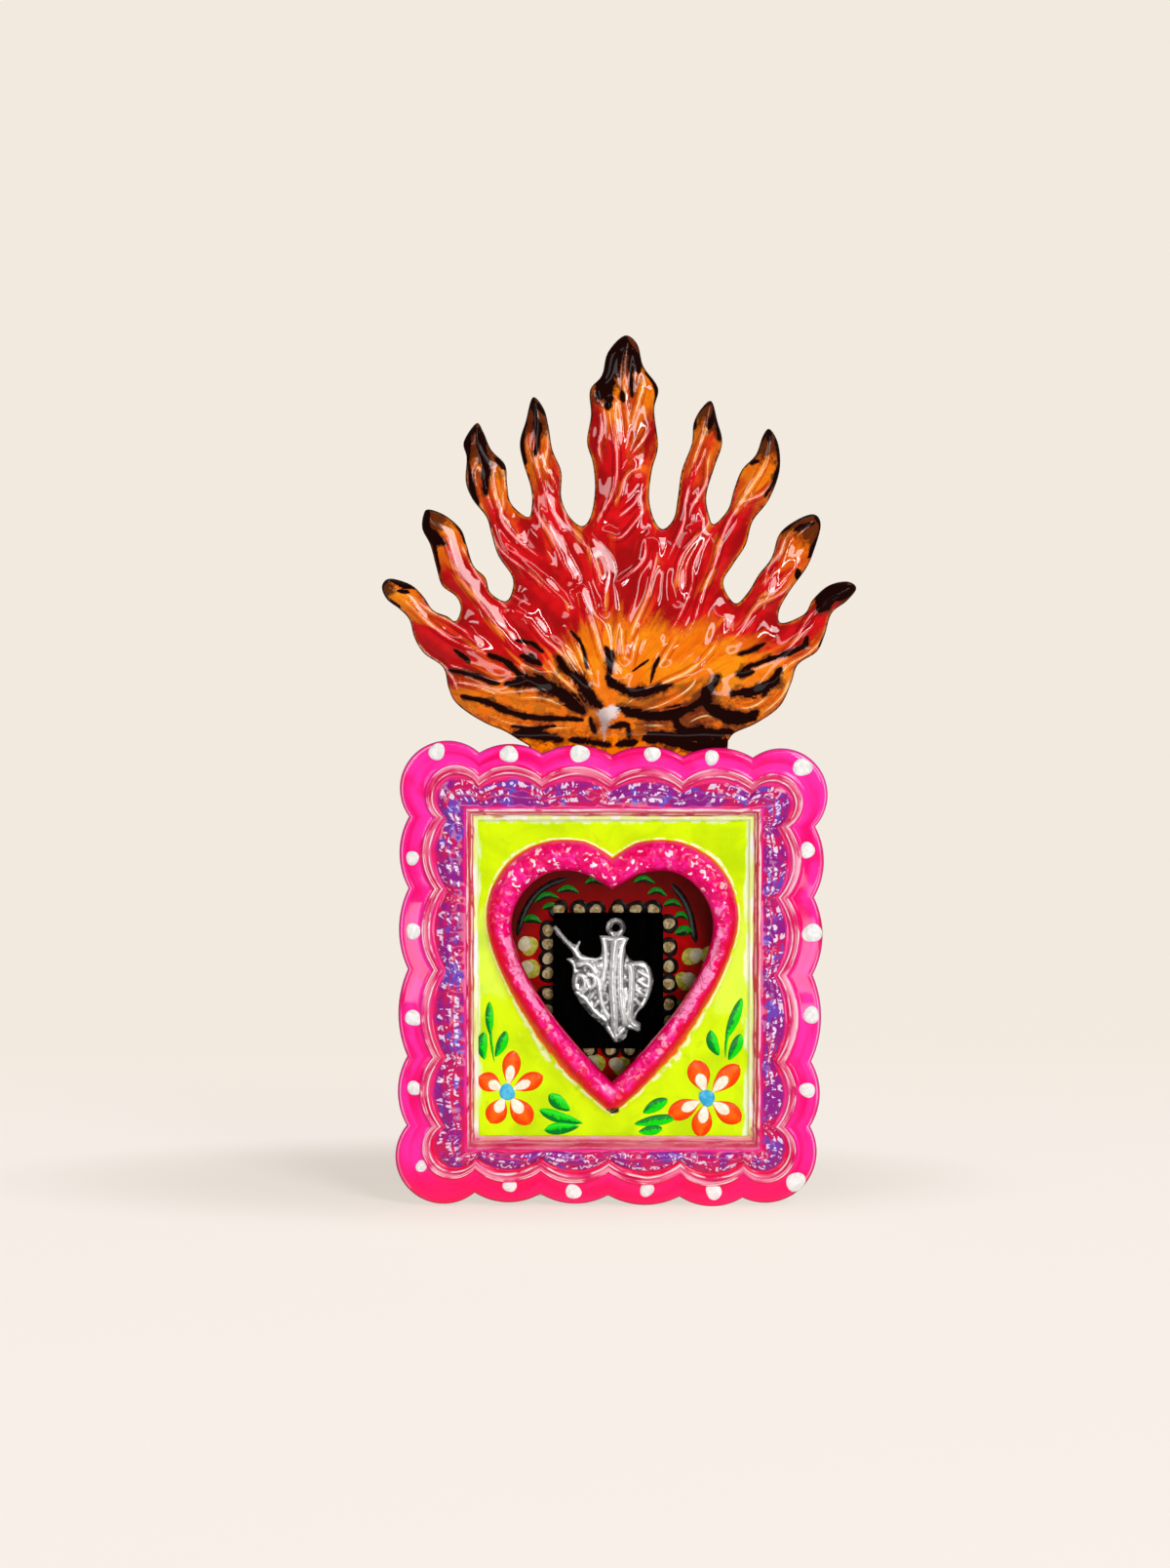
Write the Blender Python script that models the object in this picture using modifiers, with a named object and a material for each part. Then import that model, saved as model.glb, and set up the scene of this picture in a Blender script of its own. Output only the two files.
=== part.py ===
"""Tin votive shrine: an embossed scalloped front, a heart window, a shadow box and a flame crown.

Metres, +Z up. The front faces -Y, and the origin is on the table under the box, on the foot.
"""

import math

import bmesh
import bpy
import numpy as np
from mathutils import Vector
from mathutils.geometry import delaunay_2d_cdt, interpolate_bezier

MM = 0.001

# Tin sheet and seats
SHEET = 0.5 * MM
SEAT_GAP = 0.2 * MM

# Scalloped frame: the middles of its hand-cut corner lobes, and the plane of its turned-back edge
FRAME_WIDTH = 85.4 * MM
FRAME_HEIGHT = 94.6 * MM
LOBE_REACH = 8.0 * MM
SCALLOP_DEPTH = 1.9 * MM
FRAME_X = -0.3 * MM
HAND_CUT_LEAN = 0.0115
HAND_CUT_TILT = 0.0180
FRAME_BACK_Y = -13.0 * MM

# Valleys between the scallops, as fractions of each side, anticlockwise from the bottom left
VALLEYS = (
    (0.104, 0.299, 0.500, 0.712, 0.899),
    (0.114, 0.285, 0.513, 0.716, 0.901),
    (0.091, 0.296, 0.505, 0.709, 0.895),
    (0.091, 0.278, 0.490, 0.719, 0.902),
)
SCALLOP_POINTS = 6
CORNER_POINTS = 4

# Relief of the frame's front, measured forwards from the turned-back edge
EDGE_RETURN = 1.0 * MM
EDGE_ROUND = 0.7 * MM
BAND_RELIEF = 1.6 * MM
RIDGE_RELIEF = 2.5 * MM
RIDGE_FOOT_RELIEF = 1.8 * MM
BELLY_RELIEF = 2.9 * MM
BEVEL_RELIEF = 2.6 * MM
LIP_RELIEF = 0.9 * MM

# Embossed ridge: how far each side's ridge lies inside the outer valleys (bottom, right, top, left)
RIDGE_INSETS = (4.6 * MM, 6.2 * MM, 6.2 * MM, 6.6 * MM)
RIDGE_HALF_WIDTH = 0.9 * MM
RIDGE_SAGITTA = 2.6 * MM
RIDGE_CORNER_REACH = 3.4 * MM

# Borders round the window in the frame, with its flat lip and its bevels (bottom, right, top, left)
BORDER_SIDE = 14.3 * MM
BORDER_ABOVE = 14.8 * MM
BORDER_BELOW = 14.2 * MM
LIP_WIDTH = 0.9 * MM
BEVEL_WIDTHS = (2.3 * MM, 1.4 * MM, 1.7 * MM, 1.4 * MM)
CORNER_SHARE = 0.06

# Heart panel behind the window
PANEL_MARGIN = 3.2 * MM
HEART_BEAD_HEIGHT = 2.8 * MM
HEART_BEAD_STEPS = 6
HEART_RETURN = 1.2 * MM
HEART_SAMPLES = 14

# Heart outlines, right half: notch, top of the lobe, widest point and tip, each as shares of the window's
# width from its middle and of its height from its bottom
HEART_FOOT = ((0, 0.866), (0.181, 0.922), (0.452, 0.683), (0, 0.076))
HEART_OPENING = ((0, 0.771), (0.181, 0.829), (0.363, 0.659), (0, 0.168))
# Handles of those outlines, as steps from their points along the outline, in the same shares
FOOT_HANDLES = ((0.081, 0.052), (0.077, 0), (0.141, 0), (0, 0.131), (0, 0.189), (0.134, 0.073))
OPENING_HANDLES = ((0.081, 0.043), (0.074, 0), (0.092, 0), (0, 0.085), (0, 0.162), (0.116, 0.098))

# Shadow box
BOX_CLEAR = 1.0 * MM
BOX_DEPTH = 26.5 * MM
FLANGE_WIDTH = 4.0 * MM
BACK_OVERHANG = 2.2 * MM

# Foot behind the box
FOOT_WIDTH = 44.0 * MM
FOOT_LENGTH = 19.0 * MM
FOOT_LEAF_TOP = 22.0 * MM

# Block and charm inside
BLOCK_WIDTH = 23.2 * MM
BLOCK_HEIGHT = 27.8 * MM
BLOCK_DEPTH = 10.0 * MM
BLOCK_X = -0.8 * MM
BLOCK_RISE = 16.6 * MM
BLOCK_BEVEL = 0.5 * MM
BEVEL_SEGMENTS = 2
CHARM_SHEET = 0.6 * MM
CHARM_RELIEF = 1.1 * MM
CHARM_ROUND = 1.3 * MM
CHARM_SPACING = 1.1 * MM
CHARM_LOOP = (1.6 * MM, 11.9 * MM)
CHARM_LOOP_RADIUS = 2.1 * MM
CHARM_HOLE_RADIUS = 0.85 * MM
CHARM_LOOP_POINTS = 12
CHARM_LOOP_FOOT = math.radians(-52)

# The charm's outline from the loop's left foot, down its left side and up its right, as (x, z) from the
# block's middle
CHARM_OUTLINE = (
    (-1.9, 10.3), (-1.4, 8.2), (-1.7, 5.9), (-3.5, 5.6), (-5.3, 6.2), (-6.2, 7.4),
    (-5.9, 9.2), (-7.0, 8.4), (-9.0, 10.0), (-10.9, 12.3), (-11.6, 11.6), (-9.6, 8.9),
    (-7.8, 7.0), (-7.4, 5.7), (-8.8, 5.3), (-7.7, 4.1), (-7.4, 2.4), (-7.7, 0.3),
    (-7.2, -1.8), (-5.8, -4.2), (-3.7, -6.7), (-1.4, -8.7), (0.0, -10.4), (1.7, -12.5),
    (3.7, -11.4), (4.4, -9.6), (6.5, -10.2), (6.8, -8.4), (5.8, -7.6), (6.3, -6.0),
    (7.6, -4.7), (8.8, -2.3), (9.5, 0.2), (9.3, 2.4), (8.4, 4.1), (7.0, 5.0),
    (5.4, 4.9), (4.1, 5.9), (3.6, 7.7), (4.4, 9.7),
)

# Flame crown: its place, its tab behind the frame and its relief
CROWN_X = 1.4 * MM
NECK_RISE = 1.0 * MM
TAB_WIDTH = 43.6 * MM
TAB_CLEAR = 0.8 * MM
CROWN_EDGE_RELIEF = 1.6 * MM
CROWN_EDGE_ROUND = 1.8 * MM
CROWN_BOW = 3.4 * MM
CROWN_BOW_START = 1.0 * MM
CROWN_BOW_TOP = 15.0 * MM
CROWN_BOW_END = 60.0 * MM
CROWN_SPACING = 3.2 * MM
CROWN_SAMPLES = 2

# Hand-cut outline of the crown from the neck's left end over nine tongues to its right end, as (x, z)
# from the middle of the neck. Each row is one tongue, from the valley before it to the valley after it.
FLAMES = (
    ((-22.2, 0.4), (-23.8, 2.4), (-27.0, 3.8), (-31.0, 6.2), (-33.6, 8.6), (-34.8, 11.4),
     (-35.8, 15.4), (-39.6, 18.2), (-41.6, 21.4), (-42.6, 25.0), (-44.6, 27.2), (-47.2, 29.2),
     (-48.2, 31.8), (-46.6, 33.4), (-42.4, 32.2), (-39.8, 29.8), (-37.8, 27.0), (-35.0, 25.8),
     (-33.2, 24.8)),
    ((-32.2, 27.4), (-33.2, 29.8), (-36.0, 32.0), (-37.2, 35.8), (-38.4, 40.2), (-40.0, 43.4),
     (-39.8, 46.2), (-38.8, 47.4), (-35.4, 46.2), (-32.2, 43.4), (-31.0, 40.2), (-29.6, 36.0),
     (-27.2, 33.6), (-26.2, 30.6), (-23.2, 28.8)),
    ((-21.8, 30.8), (-21.8, 33.8), (-24.6, 38.0), (-26.0, 42.4), (-27.0, 45.8), (-29.8, 49.4),
     (-31.2, 53.0), (-31.0, 57.8), (-31.6, 61.0), (-29.0, 64.8), (-27.6, 63.0), (-26.0, 59.4),
     (-23.2, 56.4), (-22.8, 52.6), (-22.0, 48.6), (-18.6, 45.8)),
    ((-17.8, 48.2), (-18.0, 51.8), (-19.6, 57.0), (-20.2, 61.0), (-19.0, 65.2), (-17.6, 70.0),
     (-15.4, 67.8), (-14.4, 64.2), (-13.6, 59.4), (-11.8, 55.0), (-11.8, 49.8), (-10.2, 46.0),
     (-7.6, 44.0)),
    ((-5.8, 46.2), (-5.0, 51.4), (-5.4, 56.6), (-6.6, 61.0), (-5.8, 66.4), (-6.0, 71.4),
     (-3.6, 74.4), (-2.4, 79.0), (1.0, 82.4), (3.6, 80.6), (4.8, 76.2), (7.8, 71.8),
     (7.0, 67.4), (7.8, 60.2), (6.6, 55.4), (6.0, 49.8), (7.0, 45.4), (8.8, 43.4)),
    ((11.0, 45.6), (11.8, 49.8), (12.6, 55.2), (14.6, 60.6), (15.0, 64.8), (16.6, 67.8),
     (18.6, 69.2), (19.8, 65.2), (20.8, 60.8), (19.2, 55.8), (17.6, 50.2), (18.2, 46.0),
     (19.2, 44.4)),
    ((22.0, 47.4), (23.2, 51.4), (24.8, 55.4), (27.6, 58.4), (29.0, 62.2), (30.4, 63.6),
     (32.2, 60.4), (32.4, 55.0), (30.2, 49.2), (27.0, 45.0), (25.6, 40.2), (23.0, 36.2),
     (21.0, 32.4), (23.4, 28.4)),
    ((26.0, 30.6), (28.2, 34.2), (30.8, 37.6), (32.4, 42.4), (35.8, 45.2), (39.4, 46.4),
     (40.8, 44.2), (39.4, 39.0), (37.8, 35.4), (34.6, 31.0), (32.4, 27.0), (32.8, 24.4)),
    ((37.4, 26.2), (39.2, 29.2), (42.4, 32.0), (46.2, 32.8), (48.0, 31.4), (46.0, 28.8),
     (43.0, 26.4), (41.6, 22.0), (40.0, 18.6), (36.2, 16.0), (34.8, 12.0), (32.6, 7.4),
     (28.0, 4.0), (23.6, 2.0), (22.2, 0.4)),
)

# Hanging ring and the strap that holds it on the back
HINGE_DROP = 6.8 * MM
WIRE_RADIUS = 0.6 * MM
STRAP_BORE_RADIUS = 0.9 * MM
STRAP_WIDTH = 6.0 * MM
STRAP_LEAF = 4.0 * MM
RING_SIDE_ROOM = 2.6 * MM
RING_CORNER = 1.4 * MM
RING_CORNER_POINTS = 4
HOOK_ROOM = 5.4 * MM
ROUND_POINTS = 16

# Solder beads: half of each bead's length, and its radius
BEAD_HALF_LENGTH = 3.6 * MM
BEAD_RADIUS = 0.9 * MM
BEAD_MERIDIANS = 8
BEAD_PARALLELS = 6
FLANGE_BEAD_SHARE = 0.62
BACK_BEAD_SHARE = 0.5
CROWN_BEAD_STEP = 13.0 * MM

# Sizes and places worked out from those above
WINDOW_WIDTH = FRAME_WIDTH - 2 * BORDER_SIDE
WINDOW_HEIGHT = FRAME_HEIGHT - BORDER_ABOVE - BORDER_BELOW
WINDOW_BOTTOM = BORDER_BELOW
LIP_BACK_Y = FRAME_BACK_Y - LIP_RELIEF + SHEET
PANEL_Y = LIP_BACK_Y + SEAT_GAP
FLANGE_Y = PANEL_Y + SHEET + SEAT_GAP
WALL_END_Y = FLANGE_Y + BOX_DEPTH
BACK_Y = WALL_END_Y + SEAT_GAP
BACK_REAR_Y = BACK_Y + SHEET
BOX_HALF_WIDTH = WINDOW_WIDTH / 2 + BOX_CLEAR
BOX_LOW = WINDOW_BOTTOM - BOX_CLEAR
BOX_HIGH = WINDOW_BOTTOM + WINDOW_HEIGHT + BOX_CLEAR
BOX_MIDDLE = (BOX_LOW + BOX_HIGH) / 2
BLOCK_BOTTOM = BOX_LOW + BLOCK_RISE
LEAF_Y = BACK_REAR_Y + SEAT_GAP
HINGE_Z = BOX_HIGH - HINGE_DROP
STRAP_RADIUS = STRAP_BORE_RADIUS + SHEET
HINGE_Y = LEAF_Y + STRAP_RADIUS
STRAP_LOW = HINGE_Z - STRAP_RADIUS - STRAP_LEAF
STRAP_BEAD_Z = STRAP_LOW - SEAT_GAP - BEAD_RADIUS
RING_HALF_WIDTH = STRAP_WIDTH / 2 + RING_SIDE_ROOM
RING_DROP = HINGE_Z - STRAP_BEAD_Z + BEAD_RADIUS + HOOK_ROOM + WIRE_RADIUS
BLOCK_FRONT_Y = BACK_Y - SEAT_GAP - BLOCK_DEPTH
TAB_Y = FRAME_BACK_Y + SEAT_GAP
BEAD_ROW = SEAT_GAP + 2 * BEAD_RADIUS
TAB_LOW = BOX_HIGH + FLANGE_WIDTH + 2 * BEAD_ROW + TAB_CLEAR
CROWN_Z = FRAME_HEIGHT + NECK_RISE

COLLECTION = "tin_votive_shrine"


def clear_scene():
    for obj in list(bpy.data.objects):
        bpy.data.objects.remove(obj)


def make_collection():
    collection = bpy.data.collections.new(COLLECTION)
    bpy.context.scene.collection.children.link(collection)
    return collection


def material(name, colour, roughness, metallic):
    made = bpy.data.materials.new(name)
    made.use_nodes = True
    shader = made.node_tree.nodes["Principled BSDF"]
    shader.inputs["Base Color"].default_value = (*colour, 1.0)
    shader.inputs["Roughness"].default_value = roughness
    shader.inputs["Metallic"].default_value = metallic
    return made


def add_object(name, data, finish):
    """Puts a mesh or curve in the shrine's collection under this name, with its material."""
    obj = bpy.data.objects.new(name, data)
    data.materials.append(finish)
    bpy.data.collections[COLLECTION].objects.link(obj)
    return obj


def add_mesh(name, points, faces, finish):
    mesh = bpy.data.meshes.new(name)
    mesh.from_pydata([tuple(point) for point in points], [], faces)
    mesh.shade_smooth()
    return add_object(name, mesh, finish)


def solidify(obj, thickness, offset, even):
    """Gives an open sheet its thickness: offset -1 keeps the sheet as the front, 0 as the middle."""
    modifier = obj.modifiers.new("sheet_thickness", "SOLIDIFY")
    modifier.thickness = thickness
    modifier.offset = offset
    modifier.use_even_offset = even


def loft(name, rings, finish):
    """A tin sheet through closed rings of (x, y, z), from the outermost in, thickened to the back."""
    count = len(rings[0])
    points = [point for ring in rings for point in ring]
    faces = [
        (r * count + i, r * count + (i + 1) % count, (r + 1) * count + (i + 1) % count, (r + 1) * count + i)
        for r in range(len(rings) - 1)
        for i in range(count)
    ]
    sheet = add_mesh(name, points, faces, finish)
    solidify(sheet, SHEET, -1, False)
    return sheet


def arc_through(start, via, end, count):
    """Points anticlockwise from start to end on the circle through all three, without end itself."""
    (ax, az), (bx, bz), (cx, cz) = start, via, end
    double_area = 2 * (ax * (bz - cz) + bx * (cz - az) + cx * (az - bz))
    a, b, c = ax**2 + az**2, bx**2 + bz**2, cx**2 + cz**2
    ux = (a * (bz - cz) + b * (cz - az) + c * (az - bz)) / double_area
    uz = (a * (cx - bx) + b * (ax - cx) + c * (bx - ax)) / double_area
    radius = math.hypot(ax - ux, az - uz)
    first = math.atan2(az - uz, ax - ux)
    sweep = (math.atan2(cz - uz, cx - ux) - first) % math.tau
    angles = [first + sweep * i / count for i in range(count)]
    return [Vector((ux + radius * math.cos(t), uz + radius * math.sin(t))) for t in angles]


def circle(middle, radius, first, sweep, count):
    """Points on a circle from the angle first over sweep, without the last one."""
    turns = [first + sweep * i / count for i in range(count)]
    return [(middle[0] + radius * math.cos(t), middle[1] + radius * math.sin(t)) for t in turns]


# Scalloped frame


def lobe_middles():
    """Middles of the four corner lobes, anticlockwise from the bottom left, leaning as they were cut."""
    half_width = FRAME_WIDTH / 2 - LOBE_REACH
    half_height = FRAME_HEIGHT / 2 - LOBE_REACH
    middle = Vector((FRAME_X, FRAME_HEIGHT / 2))
    corners = []
    for side_x, side_z in ((-1, -1), (1, -1), (1, 1), (-1, 1)):
        x, z = side_x * half_width, side_z * half_height
        corners.append(middle + Vector((x + HAND_CUT_LEAN * z, z - HAND_CUT_TILT * x)))
    return corners


def scalloped_ring(insets, sagitta, corner_reach):
    """A ring of scallops: an arc between each two valleys, and one round each corner."""
    corners = lobe_middles()
    along = [(corners[(k + 1) % 4] - corners[k]) for k in range(4)]
    out = [Vector((d.y, -d.x)).normalized() for d in along]
    valley_reach = LOBE_REACH - SCALLOP_DEPTH
    valleys = [
        [corners[k] + along[k] * share + out[k] * (valley_reach - insets[k]) for share in VALLEYS[k]]
        for k in range(4)
    ]
    lobes = []
    for k in range(4):
        tip = corners[k] + (out[k - 1] + out[k]).normalized() * corner_reach
        lobes.append(arc_through(valleys[k - 1][-1], tip, valleys[k][0], 2 * CORNER_POINTS))
    ring = []
    for k in range(4):
        ring += lobes[k][CORNER_POINTS:]
        for a, b in zip(valleys[k], valleys[k][1:]):
            ring += arc_through(a, (a + b) / 2 + out[k] * sagitta, b, SCALLOP_POINTS)
        ring += lobes[(k + 1) % 4][:CORNER_POINTS]
    return ring


def side_shares():
    """For each point of a scalloped ring, its side and how far along a rectangle's side it goes."""
    shares = []
    for k in range(4):
        shares += [(k, CORNER_SHARE * i / CORNER_POINTS) for i in range(CORNER_POINTS)]
        first, last = VALLEYS[k][0], VALLEYS[k][-1]
        for a, b in zip(VALLEYS[k], VALLEYS[k][1:]):
            for i in range(SCALLOP_POINTS):
                share = (a + (b - a) * i / SCALLOP_POINTS - first) / (last - first)
                shares.append((k, CORNER_SHARE + (1 - 2 * CORNER_SHARE) * share))
        shares += [(k, 1 - CORNER_SHARE + CORNER_SHARE * i / CORNER_POINTS) for i in range(CORNER_POINTS)]
    return shares


def window_ring(margins):
    """A rectangle round the window, this far outside it (bottom, right, top, left)."""
    bottom, right, top, left = margins
    x0, x1 = -WINDOW_WIDTH / 2 - left, WINDOW_WIDTH / 2 + right
    z0, z1 = WINDOW_BOTTOM - bottom, WINDOW_BOTTOM + WINDOW_HEIGHT + top
    corners = [Vector((x0, z0)), Vector((x1, z0)), Vector((x1, z1)), Vector((x0, z1))]
    return [corners[k].lerp(corners[(k + 1) % 4], share) for k, share in side_shares()]


def raised(ring, relief):
    """A ring of (x, z) at this height in front of the frame's turned-back edge."""
    return [(p.x, FRAME_BACK_Y - relief, p.y) for p in ring]


def front_frame(finish):
    """The embossed front: rings from its turned-back edge to the window, standing on its lowest scallop."""
    edge = scalloped_ring((0, 0, 0, 0), SCALLOP_DEPTH, LOBE_REACH)
    shoulder = scalloped_ring((EDGE_ROUND,) * 4, SCALLOP_DEPTH, LOBE_REACH - EDGE_ROUND)
    ridge = []
    for step in (-RIDGE_HALF_WIDTH, 0, RIDGE_HALF_WIDTH):
        insets = [inset + step for inset in RIDGE_INSETS]
        ridge.append(scalloped_ring(insets, RIDGE_SAGITTA, RIDGE_CORNER_REACH - step))
    lift = Vector((0, -min(p.y for p in edge)))
    edge, shoulder, *ridge = ([p + lift for p in ring] for ring in (edge, shoulder, *ridge))
    bevel_top = window_ring([width + LIP_WIDTH for width in BEVEL_WIDTHS])
    lip_outer = window_ring((LIP_WIDTH,) * 4)
    belly = [a.lerp(b, 0.5) for a, b in zip(ridge[2], bevel_top)]
    rings = [
        raised(edge, 0),
        raised(edge, EDGE_RETURN),
        raised(shoulder, BAND_RELIEF),
        raised(ridge[0], BAND_RELIEF),
        raised(ridge[1], RIDGE_RELIEF),
        raised(ridge[2], RIDGE_FOOT_RELIEF),
        raised(belly, BELLY_RELIEF),
        raised(bevel_top, BEVEL_RELIEF),
        raised(lip_outer, LIP_RELIEF),
        raised(window_ring((0, 0, 0, 0)), LIP_RELIEF),
    ]
    return loft("front_frame", rings, finish)


# Heart panel


def heart_ring(points, handles):
    """A closed heart in the window, anticlockwise from its notch: three Bezier spans down each half."""
    low = Vector((0, WINDOW_BOTTOM))
    notch, lobe, side, tip = (low + Vector((x * WINDOW_WIDTH, z * WINDOW_HEIGHT)) for x, z in points)
    h = [Vector((x * WINDOW_WIDTH, z * WINDOW_HEIGHT)) for x, z in handles]
    spans = (
        (notch, notch + h[0], lobe - h[1], lobe),
        (lobe, lobe + h[2], side + h[3], side),
        (side, side - h[4], tip + h[5], tip),
    )
    right = []
    for span in spans:
        right += interpolate_bezier(*span, HEART_SAMPLES + 1)[:-1]
    right = [Vector((p.x, p.y)) for p in right] + [tip]
    left = [Vector((-p.x, p.y)) for p in right[1:-1]]
    return [right[0]] + left + right[:0:-1]


def ray_to_rectangle(middle, point, low, high):
    """Where the ray from middle through point leaves the rectangle from low to high."""
    step = point - middle
    reaches = []
    for axis in (0, 1):
        if step[axis]:
            edge = high[axis] if step[axis] > 0 else low[axis]
            reaches.append((edge - middle[axis]) / step[axis])
    return middle + step * min(reaches)


def panel_edge_ring(heart):
    """The panel's rectangular edge, one point for each point of the heart, with true corners."""
    low = Vector((-WINDOW_WIDTH / 2 - PANEL_MARGIN, WINDOW_BOTTOM - PANEL_MARGIN))
    high = Vector((WINDOW_WIDTH / 2 + PANEL_MARGIN, WINDOW_BOTTOM + WINDOW_HEIGHT + PANEL_MARGIN))
    middle = (low + high) / 2
    ring = [ray_to_rectangle(middle, point, low, high) for point in heart]
    for corner in (low, Vector((high.x, low.y)), high, Vector((low.x, high.y))):
        nearest = min(range(len(ring)), key=lambda i: (ring[i] - corner).length)
        ring[nearest] = corner
    return ring


def heart_panel(finish):
    foot = heart_ring(HEART_FOOT, FOOT_HANDLES)
    opening = heart_ring(HEART_OPENING, OPENING_HANDLES)
    edge = panel_edge_ring(foot)
    rings = [[(p.x, PANEL_Y, p.y) for p in edge]]
    for step in range(HEART_BEAD_STEPS):
        turn = math.pi * step / HEART_BEAD_STEPS
        across = (1 - math.cos(turn)) / 2
        y = PANEL_Y - HEART_BEAD_HEIGHT * math.sin(turn)
        rings.append([(p.x, y, p.y) for p in (a.lerp(b, across) for a, b in zip(foot, opening))])
    rings.append([(p.x, PANEL_Y + HEART_RETURN, p.y) for p in opening])
    return loft("heart_panel", rings, finish)


# Sheets cut to a free outline: the flame crown and the charm


def smooth_open(points, samples):
    """A Catmull-Rom curve through an open list of points, with this many samples a span."""
    p = np.array(points, float)
    ends = np.concatenate([2 * p[:1] - p[1:2], p, 2 * p[-1:] - p[-2:-1]])
    before, start, end, after = ends[:-3], ends[1:-2], ends[2:-1], ends[3:]
    rows = []
    for i in range(samples):
        t = i / samples
        square = (2 * before - 5 * start + 4 * end - after) * t**2
        cube = (3 * start - before - 3 * end + after) * t**3
        rows.append((2 * start + (end - before) * t + square + cube) / 2)
    return np.concatenate([np.stack(rows, 1).reshape(-1, 2), p[-1:]])


def edge_distance(points, outline):
    """Distance from each point to the nearest edge of a closed outline."""
    a, b = outline, np.roll(outline, -1, 0)
    step = b - a
    offset = points[:, None] - a[None]
    share = np.clip((offset * step).sum(2) / (step**2).sum(1), 0, 1)
    return np.linalg.norm(offset - share[..., None] * step, axis=2).min(1)


def inside(points, outline):
    """True for each point inside a closed outline: its ray to +X crosses an odd number of edges."""
    x, z = points[:, 0, None], points[:, 1, None]
    a, b = outline, np.roll(outline, -1, 0)
    spans = (a[:, 1] > z) != (b[:, 1] > z)
    with np.errstate(divide="ignore", invalid="ignore"):
        crossing = a[:, 0] + (z - a[:, 1]) / (b[:, 1] - a[:, 1]) * (b[:, 0] - a[:, 0])
    return (spans & (x < crossing)).sum(1) % 2 == 1


def filling_points(outlines, spacing):
    """A triangular grid of points inside the first outline, outside the others, clear of every edge."""
    low, high = outlines[0].min(0), outlines[0].max(0)
    row_step = spacing * math.sqrt(3) / 2
    rows = np.arange(low[1], high[1], row_step)
    grid = []
    for r, z in enumerate(rows):
        start = low[0] + r % 2 * spacing / 2
        grid += [(x, z) for x in np.arange(start, high[0], spacing)]
    grid = np.array(grid)
    keep = inside(grid, outlines[0])
    for hole in outlines[1:]:
        keep &= ~inside(grid, hole)
    for outline in outlines:
        keep &= edge_distance(grid, outline) > spacing / 2
    return grid[keep]


def cut_sheet(name, outlines, spacing, place, thickness, finish):
    """A sheet cut to an outline with holes, its triangles placed at place(points, distance to the edge)."""
    corners = np.concatenate([*outlines, filling_points(outlines, spacing)])
    edges = []
    start = 0
    for outline in outlines:
        count = len(outline)
        edges += [(start + i, start + (i + 1) % count) for i in range(count)]
        start += count
    keep_inside_with_holes = 2
    flat, _, faces, *_ = delaunay_2d_cdt(
        [Vector(c) for c in corners], edges, [], keep_inside_with_holes, 1e-7
    )
    flat = np.array([tuple(v) for v in flat])
    to_edge = np.min([edge_distance(flat, outline) for outline in outlines], axis=0)
    sheet = add_mesh(name, place(flat, to_edge), faces, finish)
    bm = bmesh.new()
    bm.from_mesh(sheet.data)
    backwards = [face for face in bm.faces if face.normal.y > 0]
    bmesh.ops.reverse_faces(bm, faces=backwards)
    bm.to_mesh(sheet.data)
    bm.free()
    solidify(sheet, thickness, -1, False)
    return sheet


def smooth_step(values, start, end):
    t = np.clip((values - start) / (end - start), 0, 1)
    return t * t * (3 - 2 * t)


def flame_crown(finish):
    cut = [(x * MM, z * MM) for tongue in FLAMES for x, z in tongue]
    tab_bottom = TAB_LOW - CROWN_Z
    tab = [(TAB_WIDTH / 2, tab_bottom), (-TAB_WIDTH / 2, tab_bottom)]
    outline = np.concatenate([smooth_open(cut, CROWN_SAMPLES), tab])[::-1]

    def place(flat, to_edge):
        """The edges turn back, and the body bows forwards above the neck."""
        z = flat[:, 1]
        rise = smooth_step(z, CROWN_BOW_START, CROWN_BOW_TOP)
        rise *= 1 - smooth_step(z, CROWN_BOW_TOP, CROWN_BOW_END)
        dome = (1 - np.exp(-to_edge / CROWN_EDGE_ROUND)) * smooth_step(z, 0, CROWN_BOW_TOP)
        y = TAB_Y - CROWN_BOW * rise - CROWN_EDGE_RELIEF * dome
        return np.stack([flat[:, 0] + CROWN_X, y, z + CROWN_Z], 1)

    return cut_sheet("flame_crown", [outline], CROWN_SPACING, place, SHEET, finish)


def milagro_charm(finish):
    sweep = math.pi - 2 * CHARM_LOOP_FOOT
    ring = circle(CHARM_LOOP, CHARM_LOOP_RADIUS, CHARM_LOOP_FOOT, sweep, CHARM_LOOP_POINTS)
    foot = circle(CHARM_LOOP, CHARM_LOOP_RADIUS, CHARM_LOOP_FOOT + sweep, 0, 1)
    outline = np.array([(x * MM, z * MM) for x, z in CHARM_OUTLINE] + ring + foot)
    hole = np.array(circle(CHARM_LOOP, CHARM_HOLE_RADIUS, 0, math.tau, CHARM_LOOP_POINTS))
    back_y = BLOCK_FRONT_Y - SEAT_GAP
    middle_z = BLOCK_BOTTOM + BLOCK_HEIGHT / 2

    def place(flat, to_edge):
        """A flat edge that swells towards the middle."""
        y = back_y - CHARM_SHEET - CHARM_RELIEF * (1 - np.exp(-to_edge / CHARM_ROUND))
        return np.stack([flat[:, 0] + BLOCK_X, y, flat[:, 1] + middle_z], 1)

    return cut_sheet("milagro_charm", [outline, hole], CHARM_SPACING, place, CHARM_SHEET, finish)


# Shadow box


def bent_sheet(name, profile, run, finish):
    """A strip of tin whose middle is bent along a profile of points, running straight along run."""
    points = [Vector(p) for p in profile] + [Vector(p) + Vector(run) for p in profile]
    count = len(profile)
    faces = [(i, i + 1, count + i + 1, count + i) for i in range(count - 1)]
    sheet = add_mesh(name, points, faces, finish)
    sheet.data.shade_flat()
    solidify(sheet, SHEET, 0, True)
    return sheet


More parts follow.
